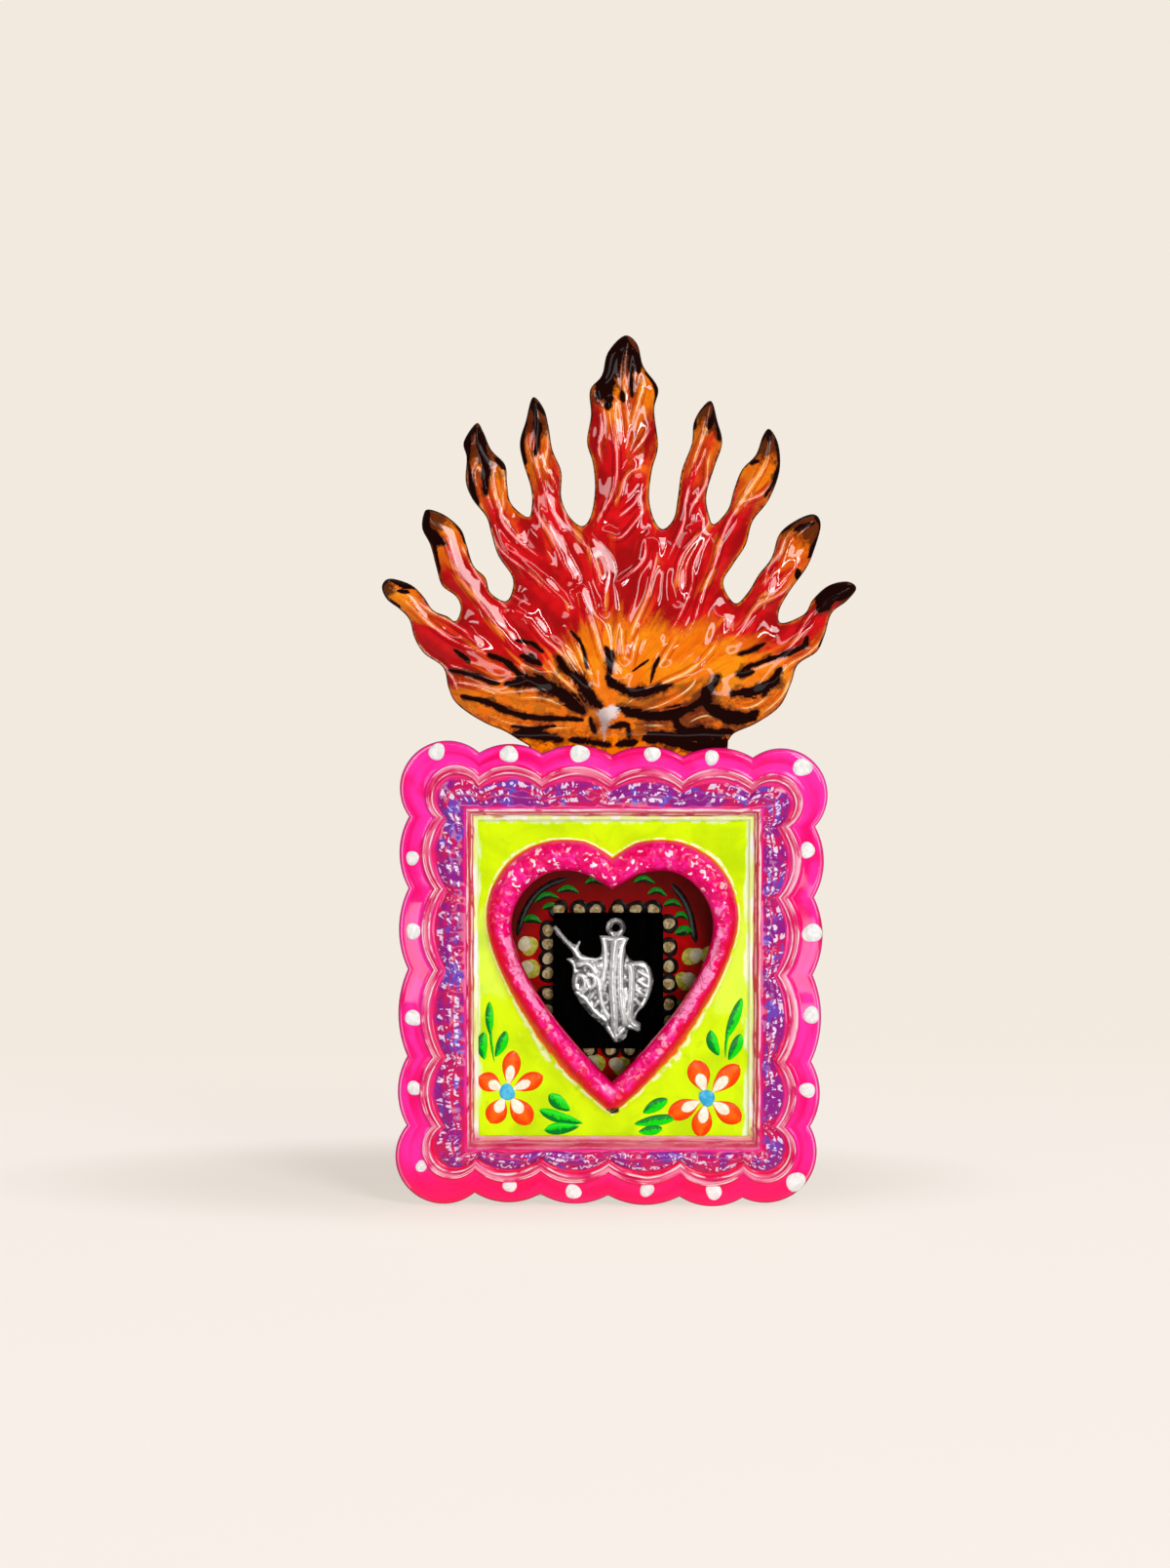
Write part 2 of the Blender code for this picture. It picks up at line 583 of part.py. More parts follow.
def box_walls(finish):
    """Four folded strips, each with a flange against the heart panel; top and bottom run over the sides."""
    flange_y = FLANGE_Y + SHEET / 2
    end_y = WALL_END_Y
    side_run = (0, 0, BOX_HIGH - BOX_LOW - 2 * SEAT_GAP)
    side_low = BOX_LOW + SEAT_GAP
    for name, side in (("box_left_wall", -1), ("box_right_wall", 1)):
        x = side * (BOX_HALF_WIDTH + SHEET / 2)
        flange_x = side * (BOX_HALF_WIDTH + FLANGE_WIDTH)
        profile = [(flange_x, flange_y, side_low), (x, flange_y, side_low), (x, end_y, side_low)]
        bent_sheet(name, profile, side_run, finish)
    half = BOX_HALF_WIDTH + SHEET
    level_run = (2 * half, 0, 0)
    for name, side, edge in (("box_floor", -1, BOX_LOW), ("box_roof", 1, BOX_HIGH)):
        z = edge + side * SHEET / 2
        flange_z = edge + side * FLANGE_WIDTH
        profile = [(-half, flange_y, flange_z), (-half, flange_y, z), (-half, end_y, z)]
        bent_sheet(name, profile, level_run, finish)


def plate(name, low, high, bevel, finish):
    """A rectangular block from its low corner to its high one, its edges rounded by bevel."""
    low, high = Vector(low), Vector(high)
    bm = bmesh.new()
    bmesh.ops.create_cube(bm, size=1)
    bmesh.ops.scale(bm, vec=high - low, verts=bm.verts)
    mesh = bpy.data.meshes.new(name)
    bm.to_mesh(mesh)
    bm.free()
    block = add_object(name, mesh, finish)
    block.location = (low + high) / 2
    if bevel:
        modifier = block.modifiers.new("rounded_edges", "BEVEL")
        modifier.width = bevel
        modifier.segments = BEVEL_SEGMENTS
    return block


def back_plate(finish):
    margin = SHEET + BACK_OVERHANG
    half = BOX_HALF_WIDTH + margin
    low = (-half, BACK_Y, BOX_LOW - margin)
    high = (half, BACK_REAR_Y, BOX_HIGH + margin)
    plate("back_plate", low, high, 0, finish)


def rear_foot(finish):
    """A strip down the back plate that turns forwards under the box, so that the shrine stands upright."""
    leaf_y = LEAF_Y + SHEET / 2
    x = -FOOT_WIDTH / 2
    profile = [(x, leaf_y, FOOT_LEAF_TOP), (x, leaf_y, SHEET / 2), (x, leaf_y - FOOT_LENGTH, SHEET / 2)]
    bent_sheet("rear_foot", profile, (FOOT_WIDTH, 0, 0), finish)


def display_block(finish):
    half = BLOCK_WIDTH / 2
    low = (BLOCK_X - half, BLOCK_FRONT_Y, BLOCK_BOTTOM)
    high = (BLOCK_X + half, BLOCK_FRONT_Y + BLOCK_DEPTH, BLOCK_BOTTOM + BLOCK_HEIGHT)
    plate("display_block", low, high, BLOCK_BEVEL, finish)


# Hanger


def flat_curve(name, outlines, thickness, finish):
    """A flat piece centred on x = 0, from closed outlines of (y, z), the later ones holes."""
    curve = bpy.data.curves.new(name, "CURVE")
    curve.dimensions = "2D"
    curve.fill_mode = "BOTH"
    curve.extrude = thickness / 2
    for outline in outlines:
        spline = curve.splines.new("POLY")
        spline.points.add(len(outline) - 1)
        for point, (y, z) in zip(spline.points, outline):
            point.co = (y, z, 0, 1)
        spline.use_cyclic_u = True
    piece = add_object(name, curve, finish)
    piece.rotation_euler = (math.pi / 2, 0, math.pi / 2)
    return piece


def hanger_strap(finish):
    """A strip soldered to the back, its top rolled round the ring's wire."""
    hinge = (HINGE_Y, HINGE_Z)
    leaf_front = LEAF_Y + SHEET
    leaf_angle = -math.acos((leaf_front - HINGE_Y) / STRAP_RADIUS)
    roll = circle(hinge, STRAP_RADIUS, leaf_angle, math.pi - leaf_angle, ROUND_POINTS)
    outline = roll + [(LEAF_Y, HINGE_Z), (LEAF_Y, STRAP_LOW), (leaf_front, STRAP_LOW)]
    bore = circle(hinge, STRAP_BORE_RADIUS, 0, math.tau, ROUND_POINTS)
    flat_curve("hanger_strap", [outline, bore], STRAP_WIDTH, finish)


def hanger_ring(finish):
    """A wire ring of D shape, hanging from its straight bar. Its pivot is on the bar."""
    pivot = bpy.data.objects.new("hanger_pivot", None)
    pivot.location = (0, HINGE_Y, HINGE_Z)
    bpy.data.collections[COLLECTION].objects.link(pivot)
    inner = RING_HALF_WIDTH - RING_CORNER
    bow_height = RING_DROP - RING_CORNER
    right = circle((inner, -RING_CORNER), RING_CORNER, math.pi / 2, -math.pi / 2, RING_CORNER_POINTS)
    bow = [math.pi * i / ROUND_POINTS for i in range(ROUND_POINTS)]
    bow = [(RING_HALF_WIDTH * math.cos(t), -RING_CORNER - bow_height * math.sin(t)) for t in bow]
    left = circle((-inner, -RING_CORNER), RING_CORNER, math.pi, -math.pi / 2, RING_CORNER_POINTS)
    path = right + bow + left + [(-inner, 0)]
    curve = bpy.data.curves.new("hanger_ring", "CURVE")
    curve.dimensions = "3D"
    curve.bevel_depth = WIRE_RADIUS
    curve.bevel_resolution = 1
    spline = curve.splines.new("POLY")
    spline.points.add(len(path) - 1)
    for point, (x, z) in zip(spline.points, path):
        point.co = (x, 0, z, 1)
    spline.use_cyclic_u = True
    ring = add_object("hanger_ring", curve, finish)
    ring.parent = pivot


# Solder


def solder_bead(name, middle, radii, finish):
    """One bead of solder: a stretched ball."""
    bm = bmesh.new()
    bmesh.ops.create_uvsphere(bm, u_segments=BEAD_MERIDIANS, v_segments=BEAD_PARALLELS, radius=1)
    bmesh.ops.scale(bm, vec=radii, verts=bm.verts)
    mesh = bpy.data.meshes.new(name)
    bm.to_mesh(mesh)
    bm.free()
    mesh.shade_smooth()
    bead = add_object(name, mesh, finish)
    bead.location = middle


def solder(finish):
    long, thick = BEAD_HALF_LENGTH, BEAD_RADIUS
    step = SEAT_GAP + thick
    box_half_height = (BOX_HIGH - BOX_LOW) / 2
    flange_y = FRAME_BACK_Y
    back_y = BACK_Y - step
    # Two beads along each side of the box: one row at the flanges, one at the back plate
    for place, y, out, share in (
        ("flange", flange_y, FLANGE_WIDTH + step, FLANGE_BEAD_SHARE),
        ("back", back_y, SHEET + step, BACK_BEAD_SHARE),
    ):
        for side, word in ((-1, "left"), (1, "right")):
            for end, end_word in ((-1, "low"), (1, "high")):
                x = side * (BOX_HALF_WIDTH + out)
                z = BOX_MIDDLE + end * box_half_height * share
                solder_bead(f"{place}_solder_{word}_{end_word}", (x, y, z), (thick, thick, long), finish)
        for side, edge, word in ((-1, BOX_LOW, "floor"), (1, BOX_HIGH, "roof")):
            for end, end_word in ((-1, "left"), (1, "right")):
                x = end * BOX_HALF_WIDTH * share
                z = edge + side * out
                solder_bead(f"{place}_solder_{word}_{end_word}", (x, y, z), (long, thick, thick), finish)
    # Along the crown's tab, the foot's leaf and the hanger's strap
    tab_z = TAB_LOW - step
    for i, word in enumerate(("left", "middle", "right")):
        x = CROWN_X + (i - 1) * CROWN_BEAD_STEP
        solder_bead(f"crown_solder_{word}", (x, TAB_Y, tab_z), (long, thick, thick), finish)
    leaf_y = BACK_REAR_Y + step
    for side, word in ((-1, "left"), (1, "right")):
        middle = (side * (FOOT_WIDTH / 2 - long), leaf_y, FOOT_LEAF_TOP + step)
        solder_bead(f"foot_solder_{word}", middle, (long, thick, thick), finish)
    solder_bead("strap_solder", (0, leaf_y, STRAP_BEAD_Z), (STRAP_WIDTH / 2, thick, thick), finish)


def main():
    clear_scene()
    make_collection()
    pink = material("pink_lacquer", (0.86, 0.01, 0.28), 0.25, 0.3)
    lime = material("lime_enamel", (0.62, 0.80, 0.01), 0.35, 0.0)
    flame = material("flame_lacquer", (0.70, 0.03, 0.01), 0.2, 0.4)
    tin = material("bare_tin", (0.60, 0.59, 0.56), 0.4, 1.0)
    red = material("red_enamel", (0.45, 0.01, 0.01), 0.4, 0.0)
    black = material("black_lacquer", (0.01, 0.01, 0.01), 0.2, 0.0)
    silver = material("silver_charm", (0.80, 0.80, 0.80), 0.2, 1.0)
    lead = material("solder", (0.45, 0.45, 0.46), 0.45, 1.0)
    front_frame(pink)
    heart_panel(lime)
    flame_crown(flame)
    box_walls(tin)
    back_plate(red)
    rear_foot(tin)
    display_block(black)
    milagro_charm(silver)
    hanger_strap(tin)
    hanger_ring(tin)
    solder(lead)


main()
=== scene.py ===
"""Looks of a tin votive shrine: a scalloped front, a heart window, a shadow box and a flame crown.

Shapes are worked out in millimetres and become metres in their meshes. The front faces -Y.
"""

import math

import bpy
import numpy as np
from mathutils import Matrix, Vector


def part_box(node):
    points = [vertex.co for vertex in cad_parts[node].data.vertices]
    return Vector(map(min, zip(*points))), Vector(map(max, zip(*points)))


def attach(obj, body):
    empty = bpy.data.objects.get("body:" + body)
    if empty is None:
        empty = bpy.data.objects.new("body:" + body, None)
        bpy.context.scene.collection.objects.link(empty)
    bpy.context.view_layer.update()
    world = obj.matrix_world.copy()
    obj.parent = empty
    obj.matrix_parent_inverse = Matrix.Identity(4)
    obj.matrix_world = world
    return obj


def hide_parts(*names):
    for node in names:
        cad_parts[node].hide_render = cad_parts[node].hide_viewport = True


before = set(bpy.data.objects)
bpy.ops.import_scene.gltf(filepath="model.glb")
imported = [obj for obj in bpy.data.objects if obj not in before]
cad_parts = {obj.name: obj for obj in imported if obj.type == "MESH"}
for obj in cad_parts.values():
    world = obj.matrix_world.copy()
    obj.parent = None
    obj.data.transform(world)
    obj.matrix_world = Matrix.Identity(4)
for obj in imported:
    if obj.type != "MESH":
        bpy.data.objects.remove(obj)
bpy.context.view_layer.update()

MM = 0.001

# Camera: it stands in front of the shrine, a little above its middle, and looks at it.
# PIXEL is how many millimetres one pixel of the picture spans at the front.
PICTURE = np.array([1200, 1608])
PIXEL = 0.2
MIDDLE = np.array([-5.6, -14.0, 87.2])
CAMERA_STEP = np.array([3.0, -620.0, 46.0])
FOCAL_PIXELS = 3127.0
SENSOR = 36.0

# Planes of the tin pieces
SHEET = 0.4
FRAME_BACK_Y = -13.0
PANEL_Y = -13.2
PLATE_FRONT_Y = 14.2


# Shapes

LATTICE = 64
PAIRS_AT_ONCE = 1_000_000
NEAR_CUT = 0.3
SLIVER = 0.02


def ease(t):
    """A smooth step: three times t squared less twice t cubed."""
    return t * t * (3 - 2 * t)


def slope(values, start, end):
    """0 before start, 1 after end, and a smooth step between them."""
    return ease(np.clip((values - start) / (end - start), 0, 1))


def bell(values, middle, width):
    """1 at middle, falling as e to the minus square of the distance over width."""
    return np.exp(-(((values - middle) / width) ** 2))


def hills(x, z, size, seed):
    """Random heights from -1 to 1 on a square lattice, blended between its corners by smooth steps."""
    table = np.random.default_rng(seed).uniform(-1, 1, (LATTICE, LATTICE))
    i, j = np.floor(x / size).astype(int), np.floor(z / size).astype(int)
    a, b = ease(x / size - i), ease(z / size - j)
    left, right, bottom, top = (k % LATTICE for k in (i, i + 1, j, j + 1))
    low = table[left, bottom] * (1 - a) + table[right, bottom] * a
    high = table[left, top] * (1 - a) + table[right, top] * a
    return low * (1 - b) + high * b


def grid_quads(rows, columns, wrap=False):
    """The quads of a grid, row by row; wrap joins its last column to its first."""
    r = np.arange(rows - 1)[:, None]
    c = np.arange(columns if wrap else columns - 1)[None]
    d = (c + 1) % columns
    corners = [r * columns + c, r * columns + d, (r + 1) * columns + d, (r + 1) * columns + c]
    return np.stack(corners, -1).reshape(-1, 4)


def repeated(quads, points_each, count):
    """The same quads for each of count copies of a shape, whose points follow each other."""
    return (quads[None] + points_each * np.arange(count)[:, None, None]).reshape(-1, 4)


def full_turn(count):
    """Angles evenly round a circle."""
    return np.linspace(0, math.tau, count + 1)[:-1]


def circle(middle, radius, turn):
    """Points at these angles on a circle: the middle plus the radius times their cosine and sine."""
    return np.array(middle) + radius * np.stack([np.cos(turn), np.sin(turn)], 1)


def left_of(ahead):
    """Unit steps to the left of each direction: it is turned by a quarter."""
    ahead = ahead / np.linalg.norm(ahead, axis=1)[:, None]
    return np.stack([-ahead[:, 1], ahead[:, 0]], 1)


def smooth_path(points, samples):
    """A smooth curve through an open row of points, with this many samples a span.

    Each span is a cubic, and its slope at a point is half the step between that point's neighbours.
    """
    p = np.array(points, float)
    p = np.concatenate([2 * p[:1] - p[1:2], p, 2 * p[-1:] - p[-2:-1]])
    before, start, end, after = (q[:, None] for q in (p[:-3], p[1:-2], p[2:-1], p[3:]))
    t = (np.arange(samples) / samples)[None, :, None]
    square = (2 * before - 5 * start + 4 * end - after) * t**2
    cube = (3 * start - before - 3 * end + after) * t**3
    curve = (2 * start + (end - before) * t + square + cube) / 2
    return np.concatenate([curve.reshape(-1, p.shape[1]), p[-2:-1]])


def nearest_on(points, path):
    """Each point's distance to an open path, the nearest place on it, and its share of the way.

    Each point is dropped square onto every span, and the span that is nearest counts.
    """
    start, step = path[:-1], np.diff(path, axis=0)
    square = np.maximum((step**2).sum(1), 1e-12)
    gaps, places, along = [], [], []
    for block in np.array_split(points, 1 + len(points) * len(start) // PAIRS_AT_ONCE):
        share = np.clip(((block[:, None] - start) * step).sum(2) / square, 0, 1)
        place = start + share[..., None] * step
        gap = np.linalg.norm(block[:, None] - place, axis=2)
        best = gap.argmin(1)
        row = np.arange(len(block))
        gaps.append(gap[row, best])
        places.append(place[row, best])
        along.append((best + share[row, best]) / len(start))
    return np.concatenate(gaps), np.concatenate(places), np.concatenate(along)


def inside(points, outline):
    """True where a ray to +X from the point crosses a closed outline an odd number of times."""
    a, b = outline, np.roll(outline, -1, 0)
    rise = np.where(a[:, 1] == b[:, 1], 1e-9, b[:, 1] - a[:, 1])
    found = []
    for block in np.array_split(points, 1 + len(points) * len(a) // PAIRS_AT_ONCE):
        x, z = block[:, 0, None], block[:, 1, None]
        spans = (a[:, 1] > z) != (b[:, 1] > z)
        crossing = a[:, 0] + (z - a[:, 1]) / rise * (b[:, 0] - a[:, 0])
        found.append((spans & (x < crossing)).sum(1) % 2 == 1)
    return np.concatenate(found)


def cut_grid(outline, holes, spacing):
    """A square grid cut to an outline and its holes, the points at the cut moved onto it.

    Returns the points, the quads and each point's distance to the cut.
    """
    low, high = outline.min(0) - spacing, outline.max(0) + spacing
    x, z = np.meshgrid(np.arange(low[0], high[0], spacing), np.arange(low[1], high[1], spacing))
    points = np.stack([x.ravel(), z.ravel()], 1)
    within = inside(points, outline)
    gap, edge, _ = nearest_on(points, np.concatenate([outline, outline[:1]]))
    for hole in holes:
        within &= ~inside(points, hole)
        hole_gap, hole_edge, _ = nearest_on(points, np.concatenate([hole, hole[:1]]))
        edge = np.where((hole_gap < gap)[:, None], hole_edge, edge)
        gap = np.minimum(gap, hole_gap)
    deep = within & (gap > NEAR_CUT * spacing)
    points = np.where(deep[:, None], points, edge)
    gap = np.where(deep, gap, 0)
    quads = grid_quads(*x.shape)
    quads = quads[deep[quads].any(1)]
    a, b, c, d = (points[quads[:, k]] for k in range(4))
    area = np.abs(np.cross(c - a, d - b)) / 2
    quads = quads[area > SLIVER * spacing**2]
    used, renumbered = np.unique(quads, return_inverse=True)
    return points[used], renumbered.reshape(-1, 4), gap[used]


def add_piece(name, points, faces, finishes, body="shrine", sheet=0.0, values=None):
    """Puts points in millimetres into a mesh that rides on a body; sheet thickens it to the back.

    The second finish, if there is one, is for the back of the sheet.
    """
    mesh = bpy.data.meshes.new(name)
    places = np.asarray(points).reshape(-1, 3) * MM
    mesh.from_pydata(places.tolist(), [], np.asarray(faces).tolist())
    for key, numbers in (values or {}).items():
        layer = mesh.attributes.new(key, "FLOAT", "POINT")
        layer.data.foreach_set("value", np.asarray(numbers, np.float32).ravel())
    mesh.shade_smooth()
    for finish in finishes:
        mesh.materials.append(finish)
    piece = bpy.data.objects.new(name, mesh)
    bpy.context.scene.collection.objects.link(piece)
    if sheet:
        wall = piece.modifiers.new("tin_thickness", "SOLIDIFY")
        wall.thickness = sheet * MM
        wall.offset = -1
        wall.material_offset = len(finishes) - 1
    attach(piece, body)
    return piece


# Camera


def camera_axes():
    """The camera's place, and its directions ahead, to the right and up."""
    eye = MIDDLE + CAMERA_STEP
    ahead = -CAMERA_STEP / np.linalg.norm(CAMERA_STEP)
    right = np.cross(ahead, (0, 0, 1))
    right /= np.linalg.norm(right)
    return eye, ahead, right, np.cross(right, ahead)


def seen_at(pixels, y):
    """Where the picture's points meet the upright plane at this y, as (x, z).

    A ray from the camera's place through each point is followed until its y is that of the plane.
    """
    eye, ahead, right, up = camera_axes()
    off = (np.asarray(pixels, float) - PICTURE / 2) * (1, -1) / FOCAL_PIXELS
    ray = ahead + off[..., :1] * right + off[..., 1:] * up
    return (eye + ray * (y - eye[1]) / ray[..., 1:2])[..., [0, 2]]


def add_camera():
    """A camera at the eye, with the lens that spans the picture's height."""
    eye, ahead, _, _ = camera_axes()
    data = bpy.data.cameras.new("camera")
    data.sensor_width = SENSOR
    data.lens = SENSOR * FOCAL_PIXELS / PICTURE[1]
    camera = bpy.data.objects.new("camera", data)
    camera.location = eye * MM
    camera.rotation_euler = Vector(ahead).to_track_quat("-Z", "Y").to_euler()
    bpy.context.scene.collection.objects.link(camera)
    bpy.context.scene.camera = camera


# Finishes


class Shade:
    """One socket in a finish's nodes. Arithmetic on it adds Math nodes, and node() adds any other."""

    def __init__(self, tree, socket):
        self.tree = tree
        self.socket = socket

    def node(self, kind, settings, sockets, out=0):
        """Adds a node: its settings first, then its sockets' values or links. Gives one output."""
        made = self.tree.nodes.new("ShaderNode" + kind)
        for key, value in settings.items():
            setattr(made, key, value)
        for key, value in sockets.items():
            if isinstance(value, Shade):
                self.tree.links.new(value.socket, made.inputs[key])
            else:
                made.inputs[key].default_value = value
        return Shade(self.tree, made.outputs[out])

    def math(self, operation, *values):
        return self.node("Math", {"operation": operation}, dict(enumerate(values)))

    def __add__(self, other):
        return self.math("ADD", self, other)

    def __radd__(self, other):
        return self.math("ADD", other, self)

    def __sub__(self, other):
        return self.math("SUBTRACT", self, other)

    def __rsub__(self, other):
        return self.math("SUBTRACT", other, self)

    def __mul__(self, other):
        return self.math("MULTIPLY", self, other)

    def __rmul__(self, other):
        return self.math("MULTIPLY", other, self)

    def __abs__(self):
        return self.math("ABSOLUTE", self)

    def at_least(self, other):
        return self.math("MAXIMUM", self, other)

    def at_most(self, other):
        return self.math("MINIMUM", self, other)

    def slope(self, start, end):
        """0 before start, 1 after end, and a smooth step between, also where start is the larger."""
        if start > end:
            return 1 - self.slope(end, start)
        settings = {"interpolation_type": "SMOOTHSTEP"}
        return self.node("MapRange", settings, {0: self, 1: start, 2: end})

    def near(self, middle, width):
        """1 at middle, falling smoothly to 0 at width from it."""
        return abs(self - middle).slope(width, 0)

    def mix(self, none, full):
        """The first colour where this is 0 and the second where it is 1."""
        ends = [v if isinstance(v, Shade) else (*v, 1) for v in (none, full)]
        return self.node("Mix", {"data_type": "RGBA"}, {0: self, 6: ends[0], 7: ends[1]}, 2)

    def stretched(self, x, y, z):
        """A place times these three numbers: a number below 1 draws a pattern out that way."""
        return self.node("VectorMath", {"operation": "MULTIPLY"}, {0: self, 1: (x, y, z)})

    def grain(self, size, detail=2.0, warp=0.0):
        """Cloudy noise from 0 to 1, with clouds of this size in millimetres."""
        return self.node("TexNoise", {}, {
            "Vector": self, "Scale": 1 / size, "Detail": detail, "Distortion": warp,
        })

    def cells(self, size):
        """Cells of this size in millimetres, each in one random colour."""
        return self.node("TexVoronoi", {}, {"Vector": self, "Scale": 1 / size}, "Color")

    def bump(self, depth):
        """A normal from this height, whose full height is depth in millimetres."""
        sockets = {"Strength": 1.0, "Distance": depth * MM, "Height": self}
        return self.node("Bump", {}, sockets, "Normal")

    def value(self, name):
        """One of the numbers kept with the piece's points."""
        return self.node("Attribute", {"attribute_name": name}, {}, "Fac")

    def axis(self, letter):
        """One of the three numbers of a place or a colour."""
        return self.node("SeparateXYZ", {}, {0: self}, "XYZ".index(letter))

    def joined(self, x, y):
        """A flat place made of two numbers."""
        return self.node("CombineXYZ", {}, {0: x, 1: y})


def new_finish(name, **constants):
    """A material, its shader and its Object coordinates in millimetres."""
    finish = bpy.data.materials.new(name)
    finish.use_nodes = True
    tree = finish.node_tree
    shader = tree.nodes["Principled BSDF"]
    for key, value in constants.items():
        socket = key.replace("_", " ").title().replace("Ior", "IOR")
        shader.inputs[socket].default_value = value
    place = Shade(tree, tree.nodes.new("ShaderNodeTexCoord").outputs["Object"])
    place = place.node("VectorMath", {"operation": "SCALE"}, {0: place, "Scale": 1 / MM})
    return finish, shader, place


def wire(shader, sockets):
    """Links values to a shader's sockets by their names."""
    for key, value in sockets.items():
        value.tree.links.new(value.socket, shader.inputs[key])


# Scalloped frame

FRAME_WIDTH = 85.4
FRAME_HEIGHT = 94.6
FRAME_X = -0.3
LOBE_REACH = 8.0
SCALLOP_DEPTH = 1.9
HAND_CUT_LEAN = 0.0115
HAND_CUT_TILT = 0.0180
# Where the valleys between the scallops lie, as shares of each side: bottom, right, top and left
VALLEYS = (
    (0.104, 0.299, 0.500, 0.712, 0.899),
    (0.114, 0.285, 0.513, 0.716, 0.901),
    (0.091, 0.296, 0.505, 0.709, 0.895),
    (0.091, 0.278, 0.490, 0.719, 0.902),
)
SCALLOP_POINTS = 32
CORNER_POINTS = 20
CORNER_SHARE = 0.06
RIDGE_INSETS = np.array([6.2, 6.0, 6.0, 5.6])
RIDGE_SAGITTA = 2.6
RIDGE_CORNERS = np.array([(0.8, 0.8), (0.6, 0.6), (1.0, 1.0), (1.0, 1.0)])
EDGE_INSETS = np.array([0, -0.5, 0, -0.8])
EDGE_CORNERS = np.array([(6.2, 5.7), (4.9, 3.9), (4.6, 6.6), (6.6, 4.8)])
WINDOW_LOW = np.array([-27.5, 14.6])
WINDOW_HIGH = np.array([28.0, 79.8])
LIP_WIDTH = 0.9
BEVEL_WIDTHS = np.array([1.7, 1.5, 1.6, 1.5])
# How far the shoulder lies in from the edge, and its corners, and a ridge's corner for each step in
SHOULDER_INSET = 0.7
SHOULDER_CORNER = 0.5
RIDGE_CORNER_STEP = 0.7
# Reliefs of the frame's rings, and the rows of points between each two of them
EDGE_RELIEF = 1.0
BAND_RELIEF = 1.6
RIDGE_STEPS = (-1.4, -0.8, -0.2, 0.45, 1.2)
RIDGE_RELIEFS = (BAND_RELIEF, 2.4, 1.95, 2.5, 1.65)
BELLY_RELIEF = 2.85
BEVEL_SHARES = (1.0, 0.62, 0.3)
BEVEL_RELIEFS = (2.45, 2.7, 1.7)
LIP_RELIEF = 0.9
FRAME_ROWS = (2, 3, 6, 3, 3, 3, 4, 7, 8, 3, 3, 3, 2)


def arc_through(start, via, end, count):
    """Points from start towards end, anticlockwise, on the circle through all three; end is left out.

    The circle's middle is where the upright bisectors of the three points' triangle meet.
    """
    (ax, az), (bx, bz), (cx, cz) = start, via, end
    double_area = 2 * (ax * (bz - cz) + bx * (cz - az) + cx * (az - bz))
    a, b, c = ax**2 + az**2, bx**2 + bz**2, cx**2 + cz**2
    ux = (a * (bz - cz) + b * (cz - az) + c * (az - bz)) / double_area
    uz = (a * (cx - bx) + b * (ax - cx) + c * (bx - ax)) / double_area
    first = math.atan2(az - uz, ax - ux)
    sweep = (math.atan2(cz - uz, cx - ux) - first) % math.tau
    turn = first + sweep * np.arange(count) / count
    return circle((ux, uz), math.hypot(ax - ux, az - uz), turn)


def scalloped_ring(insets, sagitta, corner_reaches):
    """A closed ring: an arc between each two valleys of each side, and one round each corner.

    Sides go bottom, right, top, left, and corners from the bottom left, anticlockwise. A corner reaches
    out by one length from the side before it and by another from the side after it.
    """
    half = np.array([FRAME_WIDTH, FRAME_HEIGHT]) / 2 - LOBE_REACH
    corner = np.array([(-1, -1), (1, -1), (1, 1), (-1, 1)]) * half
    corner = corner + corner[:, ::-1] * (HAND_CUT_LEAN, -HAND_CUT_TILT) + (FRAME_X, FRAME_HEIGHT / 2)
    along = np.roll(corner, -1, 0) - corner
    out = np.stack([along[:, 1], -along[:, 0]], 1)
    out /= np.linalg.norm(out, axis=1)[:, None]
    reach = LOBE_REACH - SCALLOP_DEPTH - insets
    valleys = corner[:, None] + along[:, None] * np.array(VALLEYS)[..., None]
    valleys = valleys + (out * reach[:, None])[:, None]
    lobes = []
    for k in range(4):
        tip = corner[k] + out[k - 1] * corner_reaches[k, 0] + out[k] * corner_reaches[k, 1]
        lobes.append(arc_through(valleys[k - 1][-1], tip, valleys[k][0], 2 * CORNER_POINTS))
    ring = []
    for k in range(4):
        ring.append(lobes[k][CORNER_POINTS:])
        for a, b in zip(valleys[k], valleys[k][1:]):
            ring.append(arc_through(a, (a + b) / 2 + out[k] * sagitta, b, SCALLOP_POINTS))
        ring.append(lobes[(k + 1) % 4][:CORNER_POINTS])
    return np.concatenate(ring)


def window_ring(margins):
    """A rectangle round the window, its points spaced as those of the scalloped rings."""
    bottom, right, top, left = margins
    (x0, z0), (x1, z1) = WINDOW_LOW - (left, bottom), WINDOW_HIGH + (right, top)
    corner = np.array([(x0, z0), (x1, z0), (x1, z1), (x0, z1)])
    ring = []
    for k in range(4):
        start = CORNER_SHARE * np.arange(CORNER_POINTS) / CORNER_POINTS
        valley = np.array(VALLEYS[k])
        step = np.arange(SCALLOP_POINTS) / SCALLOP_POINTS
        middle = (valley[:-1, None] + np.diff(valley)[:, None] * step).ravel()
        middle = (middle - valley[0]) / (valley[-1] - valley[0])
        middle = CORNER_SHARE + (1 - 2 * CORNER_SHARE) * middle
        share = np.concatenate([start, middle, 1 - CORNER_SHARE + start])[:, None]
        ring.append(corner[k] * (1 - share) + corner[(k + 1) % 4] * share)
    return np.concatenate(ring)


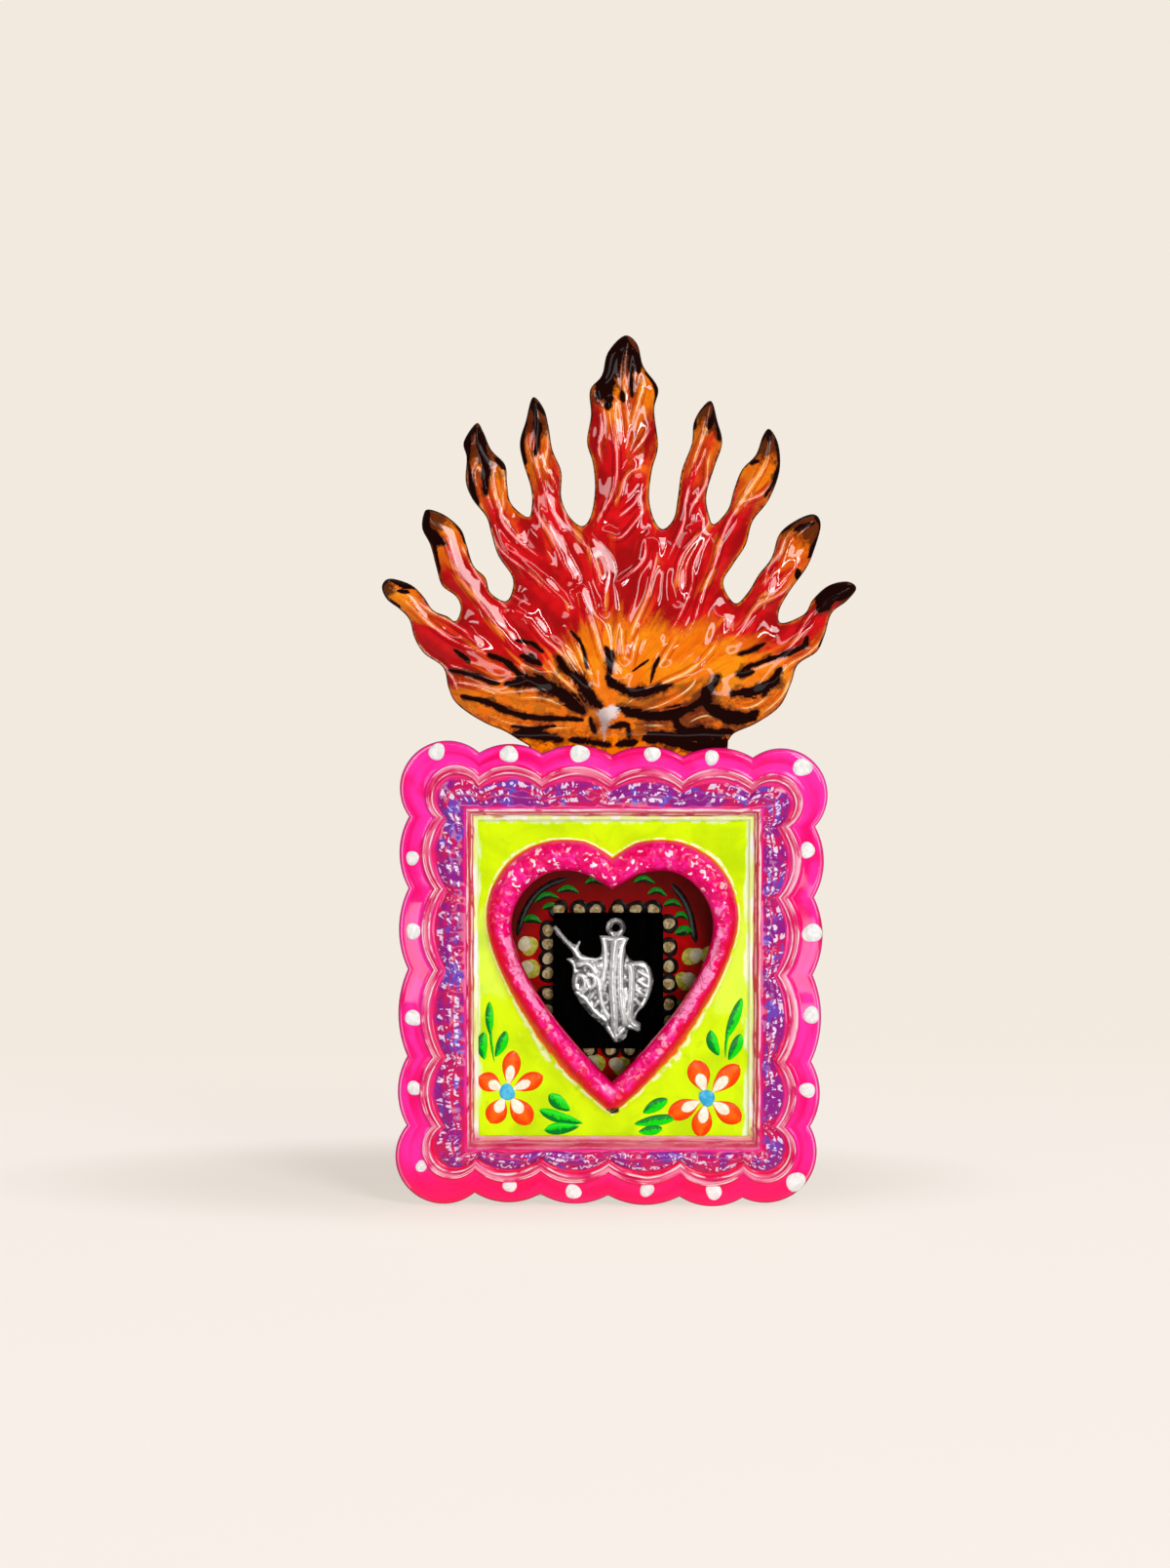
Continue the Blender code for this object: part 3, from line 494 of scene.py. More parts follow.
def loft(rings, reliefs, steps):
    """Rows of points through closed rings: the place moves evenly, the relief by half a cosine wave.

    Returns (x, z), the relief and across, the number of the ring, each for every row and column.
    """
    places, heights, across = [], [], []
    for k, count in enumerate(steps):
        t = np.arange(count + (k == len(steps) - 1)) / count
        places.append(rings[k] + (rings[k + 1] - rings[k]) * t[:, None, None])
        heights.append(reliefs[k] + (reliefs[k + 1] - reliefs[k]) * (1 - np.cos(np.pi * t)) / 2)
        across.append(k + t)
    columns = len(rings[0])
    heights, across = (
        np.repeat(np.concatenate(rows)[:, None], columns, 1) for rows in (heights, across)
    )
    return np.concatenate(places), heights, across


def band_dents(x, z):
    """How far hand work lifts or dents the frame's pink band: wide hills and low narrow ones."""
    return 0.07 * hills(x, z, 9, 11) + 0.03 * hills(x, z, 3.5, 12)


def add_front_frame(front, back):
    """Rings from the turned-back edge over a double ridge and a stippled belly to the window's lip."""
    edge = scalloped_ring(EDGE_INSETS, SCALLOP_DEPTH, EDGE_CORNERS)
    lift = np.array([0, -edge[:, 1].min()])
    ridge = [
        scalloped_ring(
            RIDGE_INSETS + step, RIDGE_SAGITTA, RIDGE_CORNERS - RIDGE_CORNER_STEP * step,
        ) + lift
        for step in RIDGE_STEPS
    ]
    shoulder = scalloped_ring(
        EDGE_INSETS + SHOULDER_INSET, SCALLOP_DEPTH, EDGE_CORNERS - SHOULDER_CORNER,
    ) + lift
    bevel = [window_ring(BEVEL_WIDTHS * share + LIP_WIDTH) for share in BEVEL_SHARES]
    belly = (ridge[-1] + bevel[0]) / 2
    edge = edge + lift
    rings = [edge, edge, shoulder, *ridge, belly, *bevel]
    rings += [window_ring(np.full(4, LIP_WIDTH)), window_ring(np.zeros(4))]
    reliefs = [0, EDGE_RELIEF, BAND_RELIEF, *RIDGE_RELIEFS, BELLY_RELIEF, *BEVEL_RELIEFS]
    flat, relief, across = loft(rings, [*reliefs, LIP_RELIEF, LIP_RELIEF], FRAME_ROWS)
    x, z = flat[..., 0], flat[..., 1]
    relief = relief + band_dents(x, z) * slope(across, 1, 2) * slope(across, 13, 11)
    stipple = slope(across, 7.0, 7.6) * slope(across, 9.0, 8.5)
    relief += stipple * (0.16 * hills(x, z, 1.5, 13) + 0.12 * hills(x, z, 0.95, 14))
    step = np.linalg.norm(np.diff(ridge[2], axis=0, append=ridge[2][:1]), axis=1)
    run = np.broadcast_to(np.cumsum(step) - step, across.shape)
    depth = np.linalg.norm(np.diff(flat, axis=0, prepend=flat[:1]), axis=2).mean(1)
    inward = np.repeat(np.cumsum(depth)[:, None], across.shape[1], 1)
    points = np.stack([x, FRAME_BACK_Y - relief, z], -1)
    quads = grid_quads(*across.shape, wrap=True)
    piece = add_piece(
        "painted_front_frame", points, quads, [front, back],
        sheet=SHEET, values={"across": across, "run": run, "inward": inward},
    )
    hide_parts("front_frame")


def frame_finish():
    """Pink lacquer on the band, worn lines on the ridges, crimson and violet on the stippled belly.

    across counts the frame's rings: 0 and 1 at the edge, 2 the shoulder, 3 to 7 the ridge, 8 the belly,
    9 to 11 the bevel, 12 and 13 the lip. run goes round the frame and inward into it, in millimetres.
    """
    finish, shader, place = new_finish(
        "pink_lacquer_front", specular_ior_level=0.0, coat_weight=0.8, coat_roughness=0.05,
    )
    across, run, inward = (place.value(name) for name in ("across", "run", "inward"))
    z = place.axis("Z")
    bottom = z.slope(17, 13)
    level = bottom.at_least(z.slope(78, 81))
    band_place = place.joined(run, inward)
    streaks = band_place.stretched(0.05, 0.4, 1).grain(1, 4, 0.6)
    clouds = place.grain(7, 3)
    pink = streaks.slope(0.32, 0.68).mix((0.82, 0.0, 0.14), (0.91, 0.026, 0.37))
    pink = (clouds.slope(0.52, 0.72) * 0.6).mix(pink, (0.88, 0.0, 0.09))
    pink = (z.slope(11, 4) * 0.75).mix(pink, (0.87, 0.0, 0.065))
    # Painted highlight: a broken pale line along the rounded shoulder, near the left and right edges
    painted_edge_highlight = (across + (streaks - 0.5) * 0.6).near(1.85, 0.22) * streaks.slope(0.42, 0.56)
    pink = (painted_edge_highlight * abs(place.axis("X")).slope(34, 38) * 0.7).mix(pink, (0.98, 0.62, 0.76))
    pink = (across.slope(1.45, 0.9) * 0.85).mix(pink, (0.22, 0.0, 0.03))

    # Worn lines along the ridge, and a painted highlight on its right side
    wear = band_place.stretched(0.12, 0.5, 1).grain(1, 3, 0.3)
    rose = wear.slope(0.40, 0.66).mix((0.62, 0.008, 0.10), (0.82, 0.22, 0.36))
    ridge = across.near(5.2, 2.2).mix(pink, rose)
    ridge = (across.near(6.9, 0.6) * (0.4 + 0.6 * bottom)).mix(ridge, (0.74, 0.0, 0.03))
    # Painted highlight: pale pink-white on the ridge's outer slope at the right side
    painted_flank_highlight = across.near(4.3, 1.0) * place.axis("X").slope(32, 36) * wear.slope(0.44, 0.58)
    ridge = (painted_flank_highlight * 0.85).mix(ridge, (0.97, 0.62, 0.72))
    wander = across + (wear - 0.5) * 1.5
    lines = wander.near(3.9, 0.42).at_least(wander.near(6.1, 0.36))
    lines = lines.at_least(wander.near(4.6, 0.3) * 0.6)
    lines = lines * band_place.stretched(0.22, 0.5, 1).grain(1, 4).slope(0.40, 0.54)
    colour = (lines * 0.9).mix(ridge, (0.96, 0.80, 0.80))

    # The belly: crimson with violet patches, and rows of punched marks with painted highlights on them
    belly = across.slope(6.95, 7.3) * across.slope(9.0, 8.75)
    rows = across.near(7.45, 0.28).at_least(across.near(7.95, 0.24))
    rows = rows.at_least(across.near(8.42, 0.22))
    patches = place.grain(5, 3, 0.5) + 0.08 * rows
    purple = patches.slope(0.44, 0.60).mix((0.56, 0.008, 0.10), (0.26, 0.012, 0.22))
    upper = z.slope(20, 60)
    blue = (place.grain(4.2, 3, 0.6) + 0.08 * rows + 0.05 * upper).slope(0.63, 0.71)
    purple = blue.mix(purple, (0.15, 0.05, 0.42))
    marks = band_place.stretched(1.4, 1, 1).grain(2.4, 1, 0.6)
    curls = marks.near(0.52, 0.10) * band_place.stretched(1.3, 1, 1).grain(2.3, 1).slope(0.50, 0.53)
    # Painted highlights: pale lilac marks on the punched rows and beside the ridge
    painted_glints = curls.slope(0.2, 0.6) * rows.slope(0.1, 0.5)
    painted_glints = painted_glints.at_least((marks + 0.12 * rows).slope(0.78, 0.80))
    by_ridge = place.grain(2.6, 2, 0.4) + 0.22 * across.near(7.5, 0.4)
    painted_glints = painted_glints.at_least(by_ridge.slope(0.84, 0.87))
    purple = painted_glints.mix(purple, (0.78, 0.58, 0.76))
    colour = belly.mix(colour, purple)

    # Bevel and lip: lines worn to the tin at the sides, dull pink above and below
    bevel = across.slope(8.95, 9.25)
    scuffs = band_place.stretched(0.10, 1.1, 1).grain(1, 5, 0.4)
    reach = across + (scuffs - 0.5) * 2.0
    worn = reach.near(9.5, 0.5).at_least(reach.near(11.2, 0.5))
    worn = worn * band_place.stretched(0.2, 0.3, 1).grain(1, 3).slope(0.36, 0.5)
    dull = scuffs.slope(0.35, 0.68).mix((0.55, 0.016, 0.10), (0.70, 0.13, 0.22))
    strip = level.mix((0.58, 0.012, 0.08), dull)
    strip = (worn * (1 - 0.75 * bottom)).mix(strip, (0.92, 0.66, 0.66))
    limed = place.stretched(1, 1, 0.3).grain(2.4, 3).slope(0.38, 0.56)
    lip = limed.mix((0.90, 0.88, 0.80), (0.76, 0.88, 0.28))
    strip = (reach.slope(11.8, 12.3) * (1 - 0.9 * bottom)).mix(strip, lip)
    colour = bevel.mix(colour, strip)
    rough = 0.22 + 0.12 * lines + 0.1 * streaks
    height = streaks * 0.12 + belly * marks * 0.9 + bevel * scuffs * 0.5 + lines * 0.3
    wire(shader, {"Base Color": colour, "Roughness": rough, "Normal": height.bump(0.25)})
    return finish


# Heart panel

# The heart as shares of its span: its notch, lobe, side and tip, and the handles of its curves
HEART_FOOT = np.array([(0, 0.866), (0.181, 0.922), (0.452, 0.683), (0, 0.076)])
HEART_OPENING = np.array([(0, 0.771), (0.181, 0.829), (0.363, 0.659), (0, 0.168)])
FOOT_HANDLES = np.array([
    (0.081, 0.052), (0.077, 0), (0.141, 0), (0, 0.131), (0, 0.189), (0.134, 0.073),
])
OPENING_HANDLES = np.array([
    (0.081, 0.043), (0.074, 0), (0.092, 0), (0, 0.085), (0, 0.162), (0.116, 0.098),
])
HEART_SAMPLES = 118
HEART_SPAN = np.array([56.8, 66.3])
HEART_BASE = 14.4
PANEL_LOW = np.array([-31.6, 11.0])
PANEL_HIGH = np.array([31.6, 83.0])
HEART_BEAD_HEIGHT = 2.8
HEART_RETURN = 1.2
PANEL_ROWS = (10, 34, 3)
PEBBLE_HEIGHT = 0.24
PAINT_LINE_HEIGHT = 0.10
PANEL_WAVE = 0.05


def heart_ring(points, handles):
    """A closed heart, anticlockwise from its notch: three spans down each half.

    A span mixes its two ends and their two handles by the four terms of the cube of (1 - t) + t.
    """
    notch, lobe, side, tip = points * HEART_SPAN + (0, HEART_BASE)
    h = handles * HEART_SPAN
    t = (np.arange(HEART_SAMPLES) / HEART_SAMPLES)[:, None]
    right = [
        a * (1 - t) ** 3 + 3 * b * t * (1 - t) ** 2 + 3 * c * t**2 * (1 - t) + d * t**3
        for a, b, c, d in (
            (notch, notch + h[0], lobe - h[1], lobe),
            (lobe, lobe + h[2], side + h[3], side),
            (side, side - h[4], tip + h[5], tip),
        )
    ]
    right = np.concatenate([*right, tip[None]])
    return np.concatenate([right[:1], right[1:-1] * (-1, 1), right[:0:-1]])


def panel_edge_ring(heart):
    """Where rays from the panel's middle through the heart's points leave it, with true corners."""
    half, middle = (PANEL_HIGH - PANEL_LOW) / 2, (PANEL_HIGH + PANEL_LOW) / 2
    step = heart - middle
    ring = middle + step * (half / np.maximum(np.abs(step), 1e-9)).min(1)[:, None]
    for corner in middle + half * np.array([(-1, -1), (1, -1), (1, 1), (-1, 1)]):
        ring[np.linalg.norm(ring - corner, axis=1).argmin()] = corner
    return ring


def add_heart_panel(front, back):
    """A flat sheet from its edge to the heart, a pebbled moulding, and a return into the opening.

    The moulding is half a turn: its place goes by the turn's cosine and its rise by the sine.
    """
    foot = heart_ring(HEART_FOOT, FOOT_HANDLES)
    opening = heart_ring(HEART_OPENING, OPENING_HANDLES)
    flat, rise, across = loft([panel_edge_ring(foot), foot, opening, opening], np.zeros(4), PANEL_ROWS)
    turn = np.pi * np.clip(across - 1, 0, 1)
    moulding = foot + (opening - foot) * ((1 - np.cos(turn)) / 2)[..., None]
    flat = np.where((across > 1)[..., None], moulding, flat)
    x, z = flat[..., 0], flat[..., 1]
    pebble = np.tanh(1.5 * hills(x, z, 1.6, 21) + 1.2 * hills(x, z, 0.85, 22))
    rise += HEART_BEAD_HEIGHT * np.sin(turn) ** 0.9 + PEBBLE_HEIGHT * np.sin(turn) * pebble
    rise += PAINT_LINE_HEIGHT * bell(across, 0.97, 0.03) - HEART_RETURN * np.clip(across - 2, 0, 1)
    rise += PANEL_WAVE * hills(x, z, 8, 24) * slope(across, 0.95, 0.6)
    points = np.stack([x, PANEL_Y - rise, z], -1)
    quads = grid_quads(*across.shape, wrap=True)
    piece = add_piece(
        "painted_heart_panel", points, quads, [front, back],
        sheet=SHEET, values={"across": across, "pebble": pebble},
    )
    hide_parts("heart_panel")


def panel_finish():
    """Lime enamel with smudges; the heart's moulding in pebbled pink, with lines round its foot.

    across is 0 at the panel's edge, 1 at the moulding's foot and 2 at the opening.
    """
    finish, shader, place = new_finish("lime_enamel_front", specular_ior_level=0.0, coat_roughness=0.04)
    across = place.value("across")
    x, z = abs(place.axis("X")), place.axis("Z")
    smudges = place.grain(9, 4, 0.5)
    lime = smudges.slope(0.40, 0.72).mix((0.64, 0.86, 0.003), (0.48, 0.70, 0.002))
    strokes_down = place.stretched(1, 1, 0.3).grain(2.2, 4).slope(0.60, 0.78)
    lime = (strokes_down * 0.5).mix(lime, (0.76, 0.92, 0.06))
    lime = (place.grain(3.4, 4, 0.8).slope(0.64, 0.78) * 0.45).mix(lime, (0.36, 0.56, 0.02))
    ragged = place.grain(1.6, 3)
    daub = place.stretched(1, 1, 0.25).grain(2.5, 3)
    rim = (x + (daub - 0.5) * 6).slope(26.9, 27.6)
    rim = rim.at_least((z + (daub - 0.5) * 3).slope(79.1, 79.7))
    lime = (rim * 0.75).mix(lime, (0.88, 0.91, 0.66))

    # Lines round the heart's foot: pale, then orange, then red
    reach = across + (ragged - 0.5) * 0.05
    lime = (reach.near(0.945, 0.035) * ragged.slope(0.38, 0.50)).mix(lime, (0.92, 0.90, 0.55))
    lime = reach.slope(0.962, 0.985).mix(lime, (0.90, 0.11, 0.01))

    # The moulding: pink in dabs, painted shade in its pits and crease lines, painted highlights on its
    # sides and top, and red at both feet
    dabs = place.grain(2.6, 3, 0.6)
    pink = dabs.slope(0.38, 0.62).mix((0.86, 0.0, 0.16), (0.93, 0.012, 0.29))
    pebble = place.value("pebble")
    # Painted shade: darker crimson where the pebbles dip
    pink = (pebble.slope(-0.35, -0.9) * 0.5).mix(pink, (0.62, 0.0, 0.07))
    # Painted highlight: pale pink on the moulding's inner slope, most at the left and right sides
    sides = x.slope(6, 20) * z.near(47, 20)
    pale = across.near(1.66, 0.36) * (0.25 + 0.75 * sides) + (dabs - 0.5) * 2.4
    pink = (pale.slope(0.50, 0.64) * 0.7).mix(pink, (0.97, 0.33, 0.58))
    middle = across.near(1.52, 0.45).slope(0, 0.4)
    # Painted shade: narrow dark crimson crease lines
    painted_crease_shade = place.grain(2.3, 1, 0.9).near(0.5, 0.085) * middle
    pink = (painted_crease_shade * 0.7).mix(pink, (0.60, 0.0, 0.06))
    # Painted highlights: small white spots, more of them on the upper part
    painted_glints = place.grain(1.5, 1, 0.7).slope(0.635, 0.665) * middle
    painted_glints = painted_glints * (0.3 + 0.7 * z.slope(56, 66))
    pink = (painted_glints * 0.9).mix(pink, (1.0, 0.78, 0.87))
    low = z.slope(72, 54)
    wander = across + (dabs - 0.5) * 0.30
    pink = (wander.slope(1.50, 1.34) * (0.25 + 0.75 * low)).mix(pink, (0.72, 0.0, 0.022))
    pink = wander.slope(1.76, 1.93).mix(pink, (0.68, 0.0, 0.05))
    bead = across.slope(0.995, 1.03)
    colour = bead.mix(lime, pink)
    colour = across.slope(2.0, 2.4).mix(colour, (0.26, 0.0, 0.02))
    chip = (place.axis("X") + (ragged - 0.5) * 2).near(0.2, 1.4) * z.near(19.9, 1.2)
    colour = chip.slope(0.1, 0.4).mix(colour, (0.05, 0.01, 0.01))
    rough = 0.34 - 0.18 * bead + 0.1 * smudges
    height = bead * dabs * 0.3 + smudges * 0.15 + (1 - bead) * place.grain(0.5, 2) * 0.06
    wire(shader, {
        "Base Color": colour, "Roughness": rough, "Coat Weight": 0.35 + 0.25 * bead,
        "Normal": height.bump(0.35),
    })
    return finish


# Flame crown

CROWN_X = 1.4
CROWN_Z = 95.6
TAB_Y = -12.8
TAB_WIDTH = 43.6
TAB_BOTTOM = -6.0
CROWN_SPACING = 0.3
CROWN_BOW = 2.5
CROWN_ROUND = 1.3
ROUND_REACH = 1.6
CROWN_DEPTH = 5.0
PATH_SAMPLES = 6
# Hand-cut outline over nine tongues, as (x, z) from the middle of the neck
FLAMES = (
    ((-18.2, -0.8), (-20.6, 0.6), (-23.6, 2.4), (-27.0, 3.8), (-31.0, 6.2), (-33.6, 8.6), (-34.8, 11.4),
     (-35.8, 15.4), (-39.6, 18.2), (-41.6, 21.4), (-42.6, 25.0), (-44.6, 27.2), (-47.2, 29.2),
     (-48.2, 31.8), (-46.6, 33.4), (-42.4, 32.2), (-39.8, 29.8), (-37.8, 27.0), (-35.0, 25.8),
     (-33.2, 24.8)),
    ((-32.2, 27.4), (-33.2, 29.8), (-36.0, 32.0), (-37.2, 35.8), (-38.4, 40.2), (-40.0, 43.4),
     (-39.8, 46.2), (-38.8, 47.4), (-35.4, 46.2), (-32.2, 43.4), (-31.0, 40.2), (-29.6, 36.0),
     (-27.2, 33.6), (-26.2, 30.6), (-23.2, 28.8)),
    ((-21.8, 30.8), (-21.8, 33.8), (-24.6, 38.0), (-26.0, 42.4), (-27.0, 45.8), (-29.8, 49.4),
     (-31.2, 53.0), (-31.0, 57.8), (-31.6, 61.0), (-29.0, 64.8), (-27.6, 63.0), (-26.0, 59.4),
     (-23.2, 56.4), (-22.8, 52.6), (-22.0, 48.6), (-18.6, 45.8)),
    ((-17.8, 48.2), (-18.0, 51.8), (-19.6, 57.0), (-20.2, 61.0), (-19.0, 65.2), (-17.6, 70.0),
     (-15.4, 67.8), (-14.4, 64.2), (-13.6, 59.4), (-11.8, 55.0), (-11.8, 49.8), (-10.2, 46.0),
     (-7.6, 44.0)),
    ((-5.8, 46.2), (-5.0, 51.4), (-5.4, 56.6), (-6.6, 61.0), (-5.8, 66.4), (-6.0, 71.4),
     (-3.6, 74.4), (-2.4, 79.0), (1.0, 82.4), (3.6, 80.6), (4.8, 76.2), (7.8, 71.8),
     (7.0, 67.4), (7.8, 60.2), (6.6, 55.4), (6.0, 49.8), (7.0, 45.4), (8.8, 43.4)),
    ((11.0, 45.6), (11.8, 49.8), (12.6, 55.2), (14.6, 60.6), (15.0, 64.8), (16.6, 67.8),
     (18.6, 69.2), (19.8, 65.2), (20.8, 60.8), (19.2, 55.8), (17.6, 50.2), (18.2, 46.0),
     (19.2, 44.4)),
    ((22.0, 47.4), (23.2, 51.4), (24.8, 55.4), (27.6, 58.4), (29.0, 62.2), (30.4, 63.6),
     (32.2, 60.4), (32.4, 55.0), (30.2, 49.2), (27.0, 45.0), (25.6, 40.2), (23.0, 36.2),
     (21.0, 32.4), (23.4, 28.4)),
    ((26.0, 30.6), (28.2, 34.2), (30.8, 37.6), (32.4, 42.4), (35.8, 45.2), (39.4, 46.4),
     (40.8, 44.2), (39.4, 39.0), (37.8, 35.4), (34.6, 31.0), (32.4, 27.0), (32.8, 24.4)),
    ((37.4, 26.2), (39.2, 29.2), (42.4, 32.0), (46.2, 32.8), (48.0, 31.4), (46.0, 28.8),
     (43.0, 26.4), (41.6, 22.0), (40.0, 18.6), (36.2, 16.0), (34.8, 12.0), (32.6, 7.4),
     (28.0, 4.0), (23.6, 2.0), (22.2, 0.4)),
)
# How far each tongue is amber and how far it is charred from its tip
AMBER_REACH = (9, 9, 15, 8, 17, 9, 13, 9, 2)
CHAR_REACH = (3, 7, 12, 8, 11, 7, 9, 9, 7)
# The upper edge of the amber at the foot of the flames
AMBER_FOOT = np.array([
    (-40, 12), (-36, 12), (-30, 13), (-22, 13.5), (-15, 15.5), (-10, 19.5), (-6, 24.5), (0, 25),
    (6, 24.5), (12, 24.5), (18, 23.5), (24, 21), (30, 18), (36, 17), (42, 20), (50, 20),
])
# Where the flames' streaks start, the half width below which a ridge is a fine one, by how much a fine
# one is raised, and the width of the painted highlight line along each ridge
ROOT = np.array([-4.6, 4.2])
FINE_RIDGE = 1.4
FINE_GAIN = 1.4
CREST_WIDTH = 0.26
